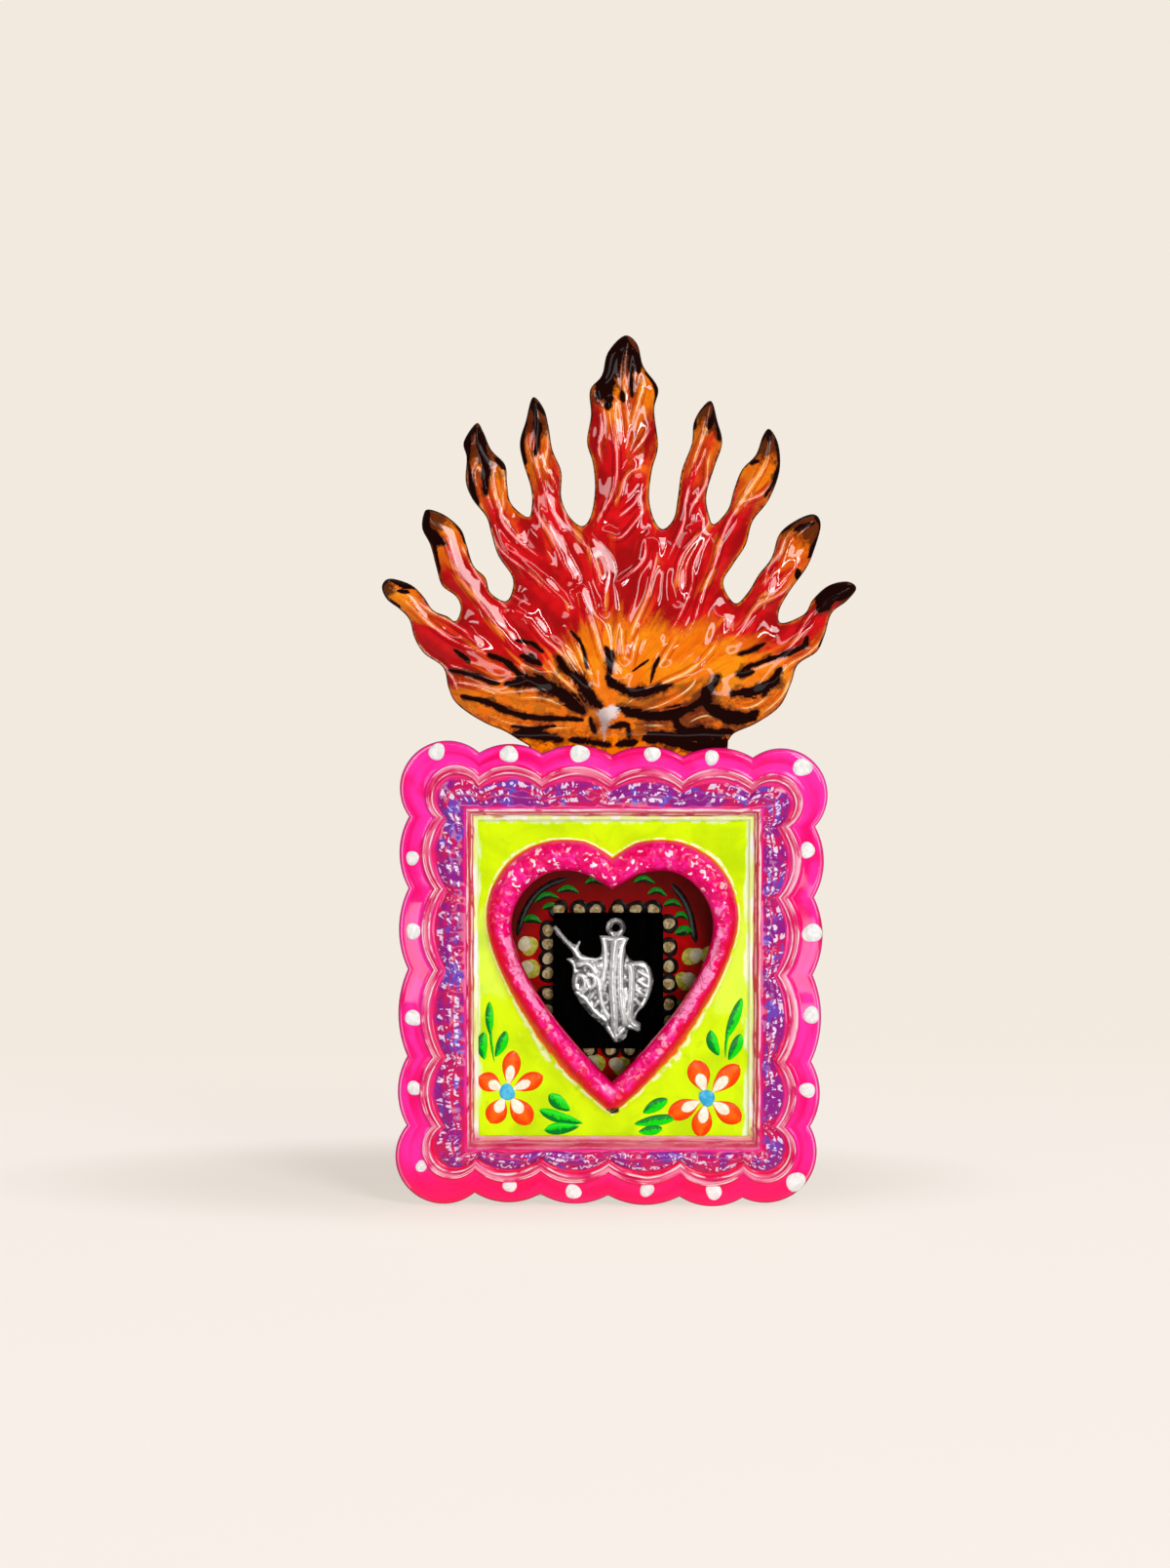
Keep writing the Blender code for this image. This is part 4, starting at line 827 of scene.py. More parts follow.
# Ridges beaten into the flames: half width, height, then points (x, z) from the middle of the neck
RIDGES = (
    (2.62, 0.68, (-46.2, 31.9), (-42.5, 28.1), (-38.5, 24.4), (-33.5, 20.9),
     (-27.5, 18.4), (-22.0, 15.6)),
    (0.96, 0.15, (-43.5, 32.4), (-40.0, 28.1), (-35.0, 25.1), (-31.0, 22.6), (-29.0, 20.1)),
    (0.96, 0.13, (-42.0, 24.6), (-40.0, 19.1), (-35.5, 15.6), (-33.5, 12.6), (-32.5, 9.6)),
    (2.27, 0.77, (-37.5, 45.6), (-35.0, 40.6), (-33.5, 36.1), (-31.5, 32.6), (-28.0, 28.1),
     (-24.0, 22.6), (-20.0, 17.6), (-16.0, 15.1)),
    (1.17, 0.17, (-34.0, 44.6), (-31.5, 39.1), (-29.5, 35.1), (-26.5, 31.1),
     (-23.5, 28.1), (-20.0, 25.6)),
    (2.1, 0.77, (-30.5, 54.6), (-28.0, 48.1), (-26.0, 43.1), (-24.0, 39.1),
     (-19.0, 35.1), (-15.0, 31.6), (-11.0, 27.6)),
    (1.27, 0.2, (-24.5, 54.6), (-23.5, 49.1), (-24.0, 45.6), (-21.5, 42.1),
     (-18.0, 39.1), (-13.0, 35.6)),
    (1.93, 0.68, (-15.5, 56.1), (-17.5, 50.6), (-17.0, 47.1), (-14.0, 42.1),
     (-11.5, 36.6), (-10.0, 33.6)),
    (2.1, 0.77, (-13.0, 54.6), (-11.5, 49.1), (-10.5, 44.6), (-7.5, 41.1), (-5.0, 36.1), (-3.2, 27.6)),
    (0.96, 0.15, (-7.5, 43.6), (-4.0, 39.6), (-2.0, 35.1), (-2.5, 31.6), (-3.2, 27.6)),
    (1.93, 0.77, (-8.0, 30.1), (-6.5, 26.6), (-5.0, 22.6), (-3.5, 17.6), (-1.0, 13.1)),
    (1.93, 0.68, (-21.5, 27.6), (-18.0, 24.6), (-15.0, 21.1), (-12.0, 18.6), (-9.0, 14.1), (-6.5, 9.6)),
    (0.85, 0.15, (-10.5, 23.6), (-8.5, 19.6), (-6.5, 15.1), (-4.0, 10.1)),
    (0.96, 0.13, (-35.0, 16.1), (-30.0, 14.6), (-25.0, 12.6), (-20.0, 13.6)),
    (0.96, 0.1, (-33.5, 12.6), (-29.0, 11.6), (-24.0, 9.6)),
    (1.27, 0.13, (-22.5, 30.6), (-20.0, 29.1), (-17.0, 27.6)),
    (1.75, 0.59, (-15.0, 17.6), (-12.0, 13.6), (-7.0, 9.1), (-3.5, 7.6)),
    (2.8, 0.51, (-30.0, 7.1), (-22.0, 3.9), (-15.0, 3.1), (-7.0, 3.1)),
    (2.62, 0.51, (-22.0, 9.4), (-15.0, 9.1), (-10.0, 6.6)),
    (2.1, 0.59, (5.5, 48.1), (3.0, 44.6), (0.0, 41.6), (-3.0, 42.6)),
    (0.96, 0.15, (5.5, 41.1), (5.0, 37.6), (3.0, 35.1), (0.0, 32.6)),
    (1.93, 0.68, (8.0, 43.1), (7.5, 37.6), (6.5, 33.6), (5.5, 29.6), (3.0, 23.6), (1.0, 18.1)),
    (1.17, 0.2, (15.0, 54.6), (13.5, 49.6), (13.0, 44.6), (11.0, 40.1), (9.5, 36.6)),
    (1.93, 0.68, (17.5, 48.6), (18.0, 44.6), (14.5, 40.6), (12.5, 37.6), (11.5, 33.6), (12.0, 29.6)),
    (1.06, 0.2, (20.0, 44.1), (17.0, 40.1), (15.0, 36.1), (14.5, 31.6), (12.0, 25.6), (9.5, 21.6)),
    (2.1, 0.77, (28.0, 54.6), (25.0, 49.1), (22.5, 45.6), (20.5, 41.1), (19.0, 35.6),
     (16.5, 29.6), (14.5, 23.6), (9.5, 17.6)),
    (1.93, 0.68, (38.0, 45.6), (34.0, 42.1), (32.5, 38.6), (30.0, 35.1), (29.0, 29.6)),
    (2.1, 0.68, (36.5, 35.1), (33.0, 30.6), (28.0, 28.1), (25.0, 23.6), (22.5, 20.6)),
    (2.45, 0.68, (47.0, 31.6), (41.0, 28.1), (38.0, 25.1), (35.0, 20.1), (31.0, 17.6), (25.0, 15.1)),
    (1.17, 0.17, (42.0, 24.6), (41.0, 21.1), (38.0, 18.1), (34.5, 16.1), (31.0, 12.6)),
    (2.62, 0.51, (35.0, 14.6), (33.0, 9.6), (28.0, 5.1)),
    (2.45, 0.68, (21.0, 25.6), (19.0, 19.6), (14.5, 15.1), (9.5, 12.6), (3.0, 9.1), (-0.5, 6.1)),
    (1.38, 0.15, (16.5, 15.1), (14.0, 11.1), (8.0, 7.6), (1.0, 6.1)),
    (2.27, 0.51, (20.0, 8.6), (25.0, 7.1), (29.0, 8.6), (33.0, 13.6)),
    (1.19, 0.21, (4.5, 3.6), (10.5, 3.4)),
    (2.45, 0.51, (13.0, 3.6), (18.0, 5.6), (23.0, 3.1)),
    (0.85, 0.13, (0.5, 24.6), (0.5, 20.1), (1.5, 15.1)),
    (0.85, 0.1, (4.0, 23.1), (2.8, 18.1), (2.0, 14.6)),
    (0.85, 0.1, (12.0, 22.6), (9.5, 18.1), (7.5, 15.1)),
    (1.93, 0.68, (-17.5, 69.1), (-16.5, 64.6), (-17.0, 60.1), (-16.5, 55.6),
     (-14.5, 49.6), (-12.0, 44.1)),
    (0.96, 0.17, (-15.5, 67.1), (-14.5, 61.1), (-15.0, 56.6), (-13.0, 52.6), (-12.2, 48.6)),
    (0.85, 0.15, (-19.0, 63.6), (-18.5, 59.6), (-17.0, 55.6)),
    (1.75, 0.68, (-29.5, 64.1), (-28.0, 59.6), (-26.5, 55.6), (-25.5, 51.1),
     (-24.0, 46.6), (-21.0, 42.1)),
    (0.96, 0.17, (-30.5, 60.1), (-28.5, 55.6), (-27.0, 51.1), (-25.0, 45.6)),
    (0.85, 0.13, (-25.0, 57.6), (-23.5, 54.6), (-23.0, 49.6)),
    (0.96, 0.17, (-4.2, 69.1), (-3.5, 63.6), (-4.2, 59.6), (-3.2, 55.6)),
    (1.75, 0.68, (-1.5, 68.1), (-1.0, 62.6), (-0.5, 57.6), (-1.0, 51.6), (-3.5, 46.6), (-5.0, 43.6)),
    (0.96, 0.17, (1.5, 80.6), (0.8, 75.6), (1.0, 70.6), (1.8, 64.6), (1.5, 59.6)),
    (0.74, 0.15, (3.2, 80.6), (3.2, 75.1), (2.2, 69.6)),
    (0.96, 0.15, (5.2, 74.1), (4.0, 69.6), (2.0, 63.6)),
    (0.96, 0.17, (7.0, 65.1), (5.0, 61.6), (2.5, 58.6)),
    (2.1, 0.68, (5.0, 55.6), (2.5, 55.1), (1.0, 53.1), (0.0, 50.1), (-2.5, 47.6)),
    (1.06, 0.17, (6.0, 53.1), (3.0, 48.6), (-0.5, 45.6)),
    (1.93, 0.59, (18.5, 68.1), (17.5, 63.6), (15.5, 58.6), (14.5, 54.6)),
    (1.06, 0.17, (20.0, 61.6), (18.0, 57.6), (17.5, 52.6), (14.5, 47.6), (14.0, 43.6)),
    (2.1, 0.68, (30.5, 63.1), (30.0, 58.6), (28.0, 54.1), (25.0, 49.6), (23.0, 47.6)),
    (0.85, 0.13, (32.0, 54.6), (29.0, 50.6), (24.0, 48.6)),
)
# Smoked strokes: half width, then points (x, z)
SMOKE = (
    (1.25, (-23.0, 12.1), (-18.0, 12.4), (-14.0, 11.4), (-10.0, 8.4), (-7.5, 6.6)),
    (0.65, (-32.0, 9.6), (-27.5, 8.6), (-23.0, 6.6), (-18.0, 5.1), (-12.0, 4.9), (-7.5, 4.6)),
    (0.5, (-34.5, 14.9), (-30.0, 14.1), (-27.5, 13.1), (-24.2, 12.1)),
    (0.4, (-33.5, 19.1), (-32.0, 18.1), (-30.5, 16.6)),
    (0.55, (-26.5, 18.1), (-23.0, 16.6), (-20.0, 13.6)),
    (0.4, (-21.0, 20.9), (-18.0, 20.4), (-15.5, 18.6)),
    (0.7, (-20.0, 17.9), (-18.0, 17.1), (-16.0, 16.1)),
    (1.0, (-12.5, 17.6), (-11.0, 15.1), (-8.5, 13.1), (-6.0, 9.6), (-4.0, 7.6)),
    (0.35, (-10.0, 23.1), (-7.5, 19.6), (-6.5, 15.1)),
    (0.8, (-2.8, 19.6), (-1.8, 17.6), (-2.0, 14.1)),
    (1.1, (-21.5, 1.6), (-17.5, 1.9), (-15.0, 1.1), (-12.0, 0.6)),
    (0.5, (-22.0, 3.4), (-18.0, 2.9), (-13.0, 3.4)),
    (0.65, (-6.0, 4.6), (-5.0, 2.1)),
    (0.7, (-10.0, 0.6), (-6.0, 0.1), (-2.0, -0.6)),
    (0.8, (-2.5, 13.6), (-0.5, 11.6), (3.0, 10.4), (7.0, 10.9), (10.5, 11.9)),
    (0.3, (8.0, 17.6), (7.0, 15.1), (6.2, 12.1)),
    (0.25, (2.5, 14.6), (6.0, 17.1)),
    (1.0, (-0.5, 7.1), (3.0, 6.1), (8.0, 5.6), (13.0, 6.6), (16.5, 8.6), (18.0, 11.1), (20.0, 13.6)),
    (1.0, (23.0, 10.1), (27.0, 10.6), (30.5, 12.1), (32.5, 15.1)),
    (1.3, (17.5, 7.6), (21.0, 5.6), (25.0, 4.6), (27.5, 6.1)),
    (0.35, (24.0, 18.1), (27.0, 19.1), (29.5, 20.4)),
    (0.5, (25.0, 15.1), (29.0, 16.6), (33.0, 18.1), (37.0, 19.6), (38.0, 21.6)),
    (0.8, (24.0, 14.1), (27.0, 14.6)),
    (1.4, (12.0, 3.4), (14.0, 1.6), (19.0, 2.1), (23.0, 2.1)),
    (1.3, (5.5, 0.9), (10.0, 0.6), (14.0, 0.1)),
    (1.4, (13.0, -0.9), (18.0, -0.4), (22.0, 0.1)),
    (0.5, (-2.0, 3.1), (1.5, 3.6), (2.0, 1.1)),
    (0.5, (-6.0, 5.1), (-5.0, 2.1)),
    (0.6, (11.5, 5.1), (12.0, 2.6)),
    (0.6, (-0.5, -0.4), (3.5, 0.1)),
    (0.7, (-18.0, 69.6), (-19.0, 65.1), (-19.8, 61.1), (-19.2, 56.6)),
    (1.0, (-17.8, 69.6), (-17.0, 66.6), (-16.5, 62.6), (-17.0, 58.6)),
    (0.6, (-16.5, 68.6), (-15.0, 66.3)),
    (1.2, (-29.2, 64.3), (-30.9, 61.6), (-30.6, 57.1)),
    (0.7, (-30.6, 57.1), (-29.8, 51.6), (-28.8, 48.1)),
    (1.0, (-29.0, 63.6), (-27.5, 57.6), (-27.0, 50.6)),
    (0.5, (-28.5, 64.1), (-27.0, 60.6)),
    (0.65, (-25.0, 57.6), (-23.2, 55.6)),
    (1.2, (-39.0, 46.9), (-39.0, 43.6), (-37.0, 41.6), (-35.5, 40.4)),
    (0.4, (-38.5, 47.4), (-35.0, 46.6), (-32.5, 43.6), (-31.2, 40.6)),
    (0.3, (-38.0, 42.1), (-37.0, 37.6), (-36.2, 33.6)),
    (0.35, (-47.0, 33.1), (-48.0, 31.6), (-47.0, 29.6), (-44.5, 27.6)),
    (0.5, (-46.5, 33.1), (-43.5, 32.1), (-41.0, 31.4)),
    (0.35, (-45.0, 30.9), (-42.5, 30.6)),
    (2.25, (1.0, 81.6), (-1.0, 78.1), (-2.8, 74.1), (-4.2, 70.1)),
    (0.9, (1.0, 82.1), (2.5, 79.1), (2.2, 75.6), (2.5, 70.1)),
    (1.25, (1.5, 81.1), (3.0, 77.6), (3.8, 75.1)),
    (0.4, (5.0, 75.1), (7.2, 72.1), (7.2, 68.1)),
    (0.65, (0.5, 71.1), (0.8, 69.1)),
    (0.7, (-2.0, 71.1), (-2.5, 67.6)),
    (0.35, (-5.8, 69.1), (-6.0, 65.1)),
    (0.4, (18.8, 69.1), (16.0, 67.1), (15.0, 63.6)),
    (0.8, (18.8, 69.1), (19.5, 66.1), (20.2, 61.6)),
    (0.6, (18.0, 63.6), (19.0, 66.1)),
    (0.5, (30.5, 63.6), (28.5, 61.1), (25.0, 56.6)),
    (1.0, (30.5, 63.3), (30.1, 61.1)),
    (0.7, (31.2, 63.1), (32.4, 58.6), (32.1, 54.6), (29.5, 50.1)),
    (0.5, (26.5, 56.6), (28.0, 57.1)),
    (0.5, (39.5, 46.4), (35.5, 45.1), (32.5, 42.6)),
    (0.7, (39.5, 46.1), (40.8, 43.6), (39.5, 39.6), (38.2, 37.6)),
    (0.8, (35.5, 43.1), (37.5, 44.1), (39.5, 44.6)),
    (0.6, (36.0, 35.1), (36.5, 33.1)),
    (2.1, (46.8, 31.4), (43.0, 29.6), (40.5, 27.4)),
    (1.2, (46.0, 32.6), (42.0, 31.1)),
    (0.25, (43.0, 26.6), (41.8, 22.6), (40.5, 19.6)),
)


def swelling(along):
    """0 at both ends of a path and 1 half way: the root of half a sine wave."""
    return np.sqrt(np.sin(np.pi * along).clip(0))


def add_flame_crown(front, back):
    """A grid cut to the flames: it bows out above the neck, its edges turn back, and ridges flow up it.

    Wide ridges are heaped by the cube root of their cubes' sum. The highest of the fine ones is added.
    """
    cut = smooth_path([point for tongue in FLAMES for point in tongue], 5)
    tab = [(TAB_WIDTH / 2, TAB_BOTTOM), (-TAB_WIDTH / 2, TAB_BOTTOM)]
    flat, quads, gap = cut_grid(np.concatenate([cut, tab]), [], CROWN_SPACING)
    x, z = flat.T
    above = slope(z, 0.5, 12)
    bow = slope(z, 1, 15) * (1 - slope(z, 15, 60))
    dome = (1 - np.exp(-gap / ROUND_REACH)) * above
    heaped, fine, crest, ridge_shade = np.zeros((4, len(flat)))
    for half_width, height, *path in RIDGES:
        off, _, along = nearest_on(flat, smooth_path(path, PATH_SAMPLES))
        ridge = height * bell(off, 0, half_width)
        crest = np.maximum(crest, swelling(along) * bell(off, 0, CREST_WIDTH))
        beside = bell(off, 3 * CREST_WIDTH, 1.4 * CREST_WIDTH)
        ridge_shade = np.maximum(ridge_shade, swelling(along) * beside)
        if half_width > FINE_RIDGE:
            heaped += ridge**3
        else:
            fine = np.maximum(fine, FINE_GAIN * ridge)
    ridges = np.cbrt(heaped) + fine
    swells = 0.35 * hills(x, z, 7.5, 31) + 0.06 * hills(x, z, 3.0, 32)
    steady = slope(z, 0, 6) * (1 - np.exp(-gap / 1.0))
    relief = CROWN_BOW * bow + CROWN_ROUND * dome + steady * (ridges + swells)
    relief = np.minimum(relief, CROWN_DEPTH)
    points = np.stack([x + CROWN_X, TAB_Y - relief, z + CROWN_Z], 1)
    smoke = np.full(len(flat), -2.0)
    pressure = (0.95 + 0.45 * hills(x, z, 2.0, 33)) * (1.3 - 0.3 * slope(z, 17, 25))
    for half_width, *path in SMOKE:
        off, _, along = nearest_on(flat, smooth_path(path, PATH_SAMPLES))
        reach = half_width * pressure * (0.5 + 0.6 * swelling(along))
        smoke = np.maximum(smoke, 1 - off / reach)
    tips = [np.array(t)[np.linalg.norm(t, axis=1).argmax()] for t in FLAMES]
    from_tip = np.array([np.linalg.norm(flat - tip, axis=1) for tip in tips])
    char = (1 - from_tip / np.array(CHAR_REACH)[:, None]).max(0)
    amber = [*(1 - from_tip / np.array(AMBER_REACH)[:, None])]
    amber.append((np.interp(x, *AMBER_FOOT.T) - z) / 7)
    amber.append(0.4 - gap / 0.8)
    step = flat - ROOT
    turn = np.arctan2(step[:, 0], step[:, 1])
    piece = add_piece(
        "lacquered_flame_crown", points, quads, [front, back], sheet=SHEET,
        values={
            "smoke": smoke, "char": char, "amber": np.max(amber, axis=0), "gap": gap,
            "ridge": ridges, "crest": crest, "ridge_shade": ridge_shade,
            "turn": 30 * turn, "reach": np.linalg.norm(step, axis=1),
        },
    )
    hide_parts("flame_crown")


def crown_finish():
    """Clear red over tin, run into amber at the base and the tips, with smoked strokes and dark edges,
    and with painted shade and painted highlights along the ridges and where the flames meet.

    turn and reach are the angle and the distance from where the flames' streaks start.
    """
    finish, shader, place = new_finish(
        "flame_lacquer_front", specular_ior_level=0.0, coat_roughness=0.03,
    )
    smoke, char, amber, ridge, gap, crest, ridge_shade = (
        place.value(name) for name in ("smoke", "char", "amber", "ridge", "gap", "crest", "ridge_shade")
    )
    turn, reach = place.value("turn"), place.value("reach")
    x, z = place.axis("X"), place.axis("Z")
    clouds = place.grain(5, 4, 0.6)
    brush = place.grain(1.1, 4, 0.8)
    speck = place.grain(0.45, 2)
    flow = place.joined(turn * 0.55, reach * 0.09).grain(1, 5, 0.4)

    # Red is darker in the hollows, where the lacquer lies thick and painted shade is added, and lighter
    # on the ridges, where less lacquer lies
    red = clouds.slope(0.36, 0.66).mix((0.46, 0.0, 0.002), (0.66, 0.003, 0.006))
    red = (ridge.slope(0.40, 0.04) * 0.75).mix(red, (0.27, 0.0, 0.001))
    red = (flow.slope(0.55, 0.75) * 0.5).mix(red, (0.80, 0.03, 0.004))
    gold = clouds.slope(0.35, 0.7).mix((0.82, 0.16, 0.0), (0.89, 0.28, 0.003))
    drawn = flow.slope(0.52, 0.68) * (0.2 + 0.8 * reach.slope(10, 26))
    gold = (drawn * 0.6).mix(gold, (0.62, 0.065, 0.0))
    gold = (speck.slope(0.60, 0.72) * brush.slope(0.5, 0.65) * 0.6).mix(gold, (0.36, 0.03, 0.0))
    golden = (amber + (flow - 0.5) * 2.4 + (brush - 0.5) * 0.6).slope(-0.50, 0.55)
    colour = golden.mix(red, gold)
    lowest = z.slope(112, 98) * (clouds + (brush - 0.5) * 0.6).slope(0.42, 0.58)
    colour = (lowest * 0.7).mix(colour, (0.30, 0.030, 0.001))
    scorch = x.near(14, 17) * z.near(101, 13) + (clouds - 0.5) * 1.6 + (flow - 0.5)
    colour = (scorch.slope(0.30, 1.0) * 0.85).mix(colour, (0.075, 0.008, 0.001))

    # Along the ridges: worn to orange, painted shade beside them and painted highlight lines on their
    # crests
    worn = ridge.slope(0.5, 0.8) * flow.slope(0.50, 0.62)
    colour = (worn * 0.6).mix(colour, (0.92, 0.28, 0.015))
    # Painted shade: dark lines along both sides of each ridge, dark red on the red and dark brown on the
    # amber
    deep = golden.mix((0.20, 0.0, 0.001), (0.50, 0.045, 0.0))
    colour = ((ridge_shade + (brush - 0.5) * 0.6).slope(0.40, 0.90) * 0.7).mix(colour, deep)
    # Painted highlight: pale lines along the ridges' crests, pink on the red and pale gold on the amber
    painted_crest_highlight = (crest + (clouds - 0.5) * 1.2 + (brush - 0.5) * 0.5).slope(0.45, 0.80)
    crest_highlight_colour = golden.mix((0.94, 0.36, 0.36), (0.98, 0.62, 0.26))
    colour = (painted_crest_highlight * 0.85).mix(colour, crest_highlight_colour)

    # Smoke: brown where it is thin and round the tips, black where it is thick and along the cut edge
    charred = (char + (brush - 0.5) * 0.9 + (clouds - 0.5) * 1.2).slope(-0.05, 0.45)
    colour = (charred * 0.92).mix(colour, (0.055, 0.006, 0.002))
    haze = smoke + (brush - 0.5) * 1.7 + (clouds - 0.5) * 1.8 + (speck - 0.5) * 0.5
    colour = (haze.slope(-0.75, 0.25) * 0.85).mix(colour, (0.11, 0.013, 0.001))
    soot = (smoke + (brush - 0.5) * 0.9 + (flow - 0.5) * 1.7).slope(0.10, 0.30)
    soot = soot.at_least((gap + (brush - 0.5) * 0.8).slope(0.36, 0.14) * 0.9)
    colour = soot.mix(colour, (0.010, 0.0015, 0.001))

    # Painted highlight where the flames meet: a grey patch, lighter towards the upper right
    highlight_wedge = (abs(x + 1.8) - 0.45 * (z - 96.4)).at_least(z - 102.6)
    highlight_wedge = highlight_wedge + (brush - 0.5) * 2.0 + (clouds - 0.5) * 5
    bright = (x + z + (clouds - 0.5) * 6).slope(98.5, 101.5)
    highlight_grey = bright.mix((0.34, 0.30, 0.31), (0.78, 0.75, 0.76))
    colour = (highlight_wedge.slope(0.4, -0.4) * 0.85).mix(colour, highlight_grey)
    dull = soot.at_least(charred * 0.6).at_least(z.slope(98.4, 97.2))
    wire(shader, {
        "Base Color": colour, "Roughness": 0.22 + 0.12 * brush,
        "Coat Weight": 1 - 0.85 * dull, "Normal": (brush * 0.5 + speck * 0.1).bump(0.05),
    })
    return finish


# Charm

CHARM_MIDDLE = (-0.8, 43.7)
CHARM_BACK_Y = 3.8
CHARM_SPACING = 0.11
CHARM_SHEET = 0.5
CHARM_BASE = 0.6
CHARM_ROUND = 0.75
CHARM_ROUND_REACH = 0.9
STRIKE = 0.9
CHARM_LOOP = (1.6, 11.9)
LOOP_RADIUS = 2.1
HOLE_RADIUS = 0.85
LOOP_ENDS = (-52, 232)
CHARM_OUTLINE = (
    (-1.9, 10.3), (-1.4, 8.2), (-1.7, 5.9), (-3.5, 5.6), (-5.3, 6.2), (-6.2, 7.4),
    (-5.9, 9.2), (-7.0, 8.4), (-9.0, 10.0), (-10.9, 12.3), (-11.6, 11.6), (-9.6, 8.9),
    (-7.8, 7.0), (-7.4, 5.7), (-8.8, 5.3), (-7.7, 4.1), (-7.4, 2.4), (-7.7, 0.3),
    (-7.2, -1.8), (-5.8, -4.2), (-3.7, -6.7), (-1.4, -8.7), (0.0, -10.4), (1.7, -12.5),
    (3.7, -11.4), (4.4, -9.6), (6.5, -10.2), (6.8, -8.4), (5.8, -7.6), (6.3, -6.0),
    (7.6, -4.7), (8.8, -2.3), (9.5, 0.2), (9.3, 2.4), (8.4, 4.1), (7.0, 5.0),
    (5.4, 4.9), (4.1, 5.9), (3.6, 7.7), (4.4, 9.7),
)
# Struck lines of the charm: half width, height, then points (x, z)
CHARM_LINES = (
    (0.50, 0.55, (-1.2, 9.8), (-0.65, 6.2), (-0.9, 2.3), (-1.6, -1.0)),
    (0.60, 0.70, (1.55, 9.3), (1.15, 5.1), (0.9, -0.45), (1.3, -6.0), (1.3, -9.0)),
    (0.50, 0.55, (3.7, 9.5), (2.8, 6.2), (2.55, 2.3), (2.7, -3.2), (3.5, -8.2)),
    (0.40, 0.50, (-1.2, 9.9), (1.55, 9.5), (3.8, 9.9)),
    (0.50, 0.70, (4.6, 4.0), (4.9, 2.3), (4.9, -1.8), (4.6, -6.0), (4.9, -7.9), (6.0, -9.0)),
    (0.40, 0.45, (5.6, 4.3), (7.6, 4.2), (8.6, 1.8), (8.5, -1.3), (7.65, -3.8), (6.0, -6.6)),
    (0.35, 0.45, (8.0, 3.6), (6.2, 4.3)),
    (0.35, 0.45, (8.3, 1.6), (6.4, 2.8)),
    (0.35, 0.45, (8.3, -0.6), (6.4, 0.8)),
    (0.35, 0.45, (7.8, -2.6), (6.2, -1.2)),
    (0.35, 0.45, (7.0, -4.6), (5.8, -3.2)),
    (0.40, 0.55, (-7.0, 0.4), (-6.5, 1.8), (-5.35, 1.6), (-5.0, -0.1), (-6.1, -1.2), (-6.9, -0.4)),
    (0.40, 0.50, (-4.3, 2.2), (-3.0, 1.6), (-2.9, 0.0), (-3.9, -0.7), (-4.4, 0.3)),
    (0.40, 0.50, (-6.7, -1.8), (-4.8, -3.2), (-2.9, -5.7), (-0.65, -7.6)),
    (0.45, 0.55, (-6.4, 4.2), (-4.4, 4.4), (-2.9, 2.9), (-2.0, -0.45), (-1.4, -3.8), (-0.2, -7.0)),
    (0.35, 0.40, (-5.6, -2.0), (-4.4, -0.9)),
    (0.35, 0.40, (-4.6, -3.8), (-3.3, -2.2)),
    (0.35, 0.40, (-3.4, -5.4), (-2.2, -3.6)),
    (0.35, 0.40, (-2.0, -7.0), (-0.9, -4.8)),
    (0.35, 0.40, (3.6, -1.0), (3.4, -5.5)),
    (0.70, 0.60, (-2.0, 3.9), (-1.8, 3.9)),
    (0.40, 0.55, (-11.2, 12.0), (-9.4, 9.8), (-7.6, 7.7), (-6.4, 6.2), (-5.2, 5.6), (-1.75, 5.6)),
    (0.40, 0.50, (-6.0, 8.8), (-6.7, 7.6), (-6.2, 6.4)),
    (0.40, 0.50, (-8.5, 5.3), (-7.6, 4.6), (-7.2, 2.6)),
    (0.40, 0.45, (-0.1, -9.3), (1.3, -11.4), (3.2, -9.6)),
    (0.35, 0.40, (1.3, -9.0), (1.6, -12.0)),
    (0.35, 0.40, (4.4, -9.0), (6.2, -9.6)),
)


def add_charm(front):
    """A grid cut to the charm: its edge turns back, and each struck line is a rounded ridge on it."""
    loop = circle(CHARM_LOOP, LOOP_RADIUS, np.radians(np.linspace(*LOOP_ENDS, 30)))
    outline = np.concatenate([smooth_path(CHARM_OUTLINE, 4), loop])
    hole = circle(CHARM_LOOP, HOLE_RADIUS, full_turn(29))
    flat, quads, gap = cut_grid(outline, [hole], CHARM_SPACING)
    x, z = flat.T
    dome = 1 - np.exp(-gap / CHARM_ROUND_REACH)
    lines = np.zeros(len(flat))
    for half_width, height, *path in CHARM_LINES:
        off, _, _ = nearest_on(flat, smooth_path(path, 8))
        lines = np.maximum(lines, height * bell(off, 0, half_width))
    beads = 0.5 + 0.5 * np.cos((z - x) * 4.2)
    lines *= 1 - 0.5 * beads * slope(x - z, -14.5, -16.5)
    dents = 0.06 * hills(x, z, 0.9, 41) + 0.03 * hills(x, z, 0.45, 42)
    struck = STRIKE * lines * slope(gap, 0, 0.35)
    rise = CHARM_BASE + CHARM_ROUND * dome + struck + dents * dome
    points = np.stack([x + CHARM_MIDDLE[0], CHARM_BACK_Y - rise, z + CHARM_MIDDLE[1]], 1)
    piece = add_piece(
        "silver_milagro", points, quads, [front],
        sheet=CHARM_SHEET, values={"lines": lines},
    )
    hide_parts("milagro_charm")


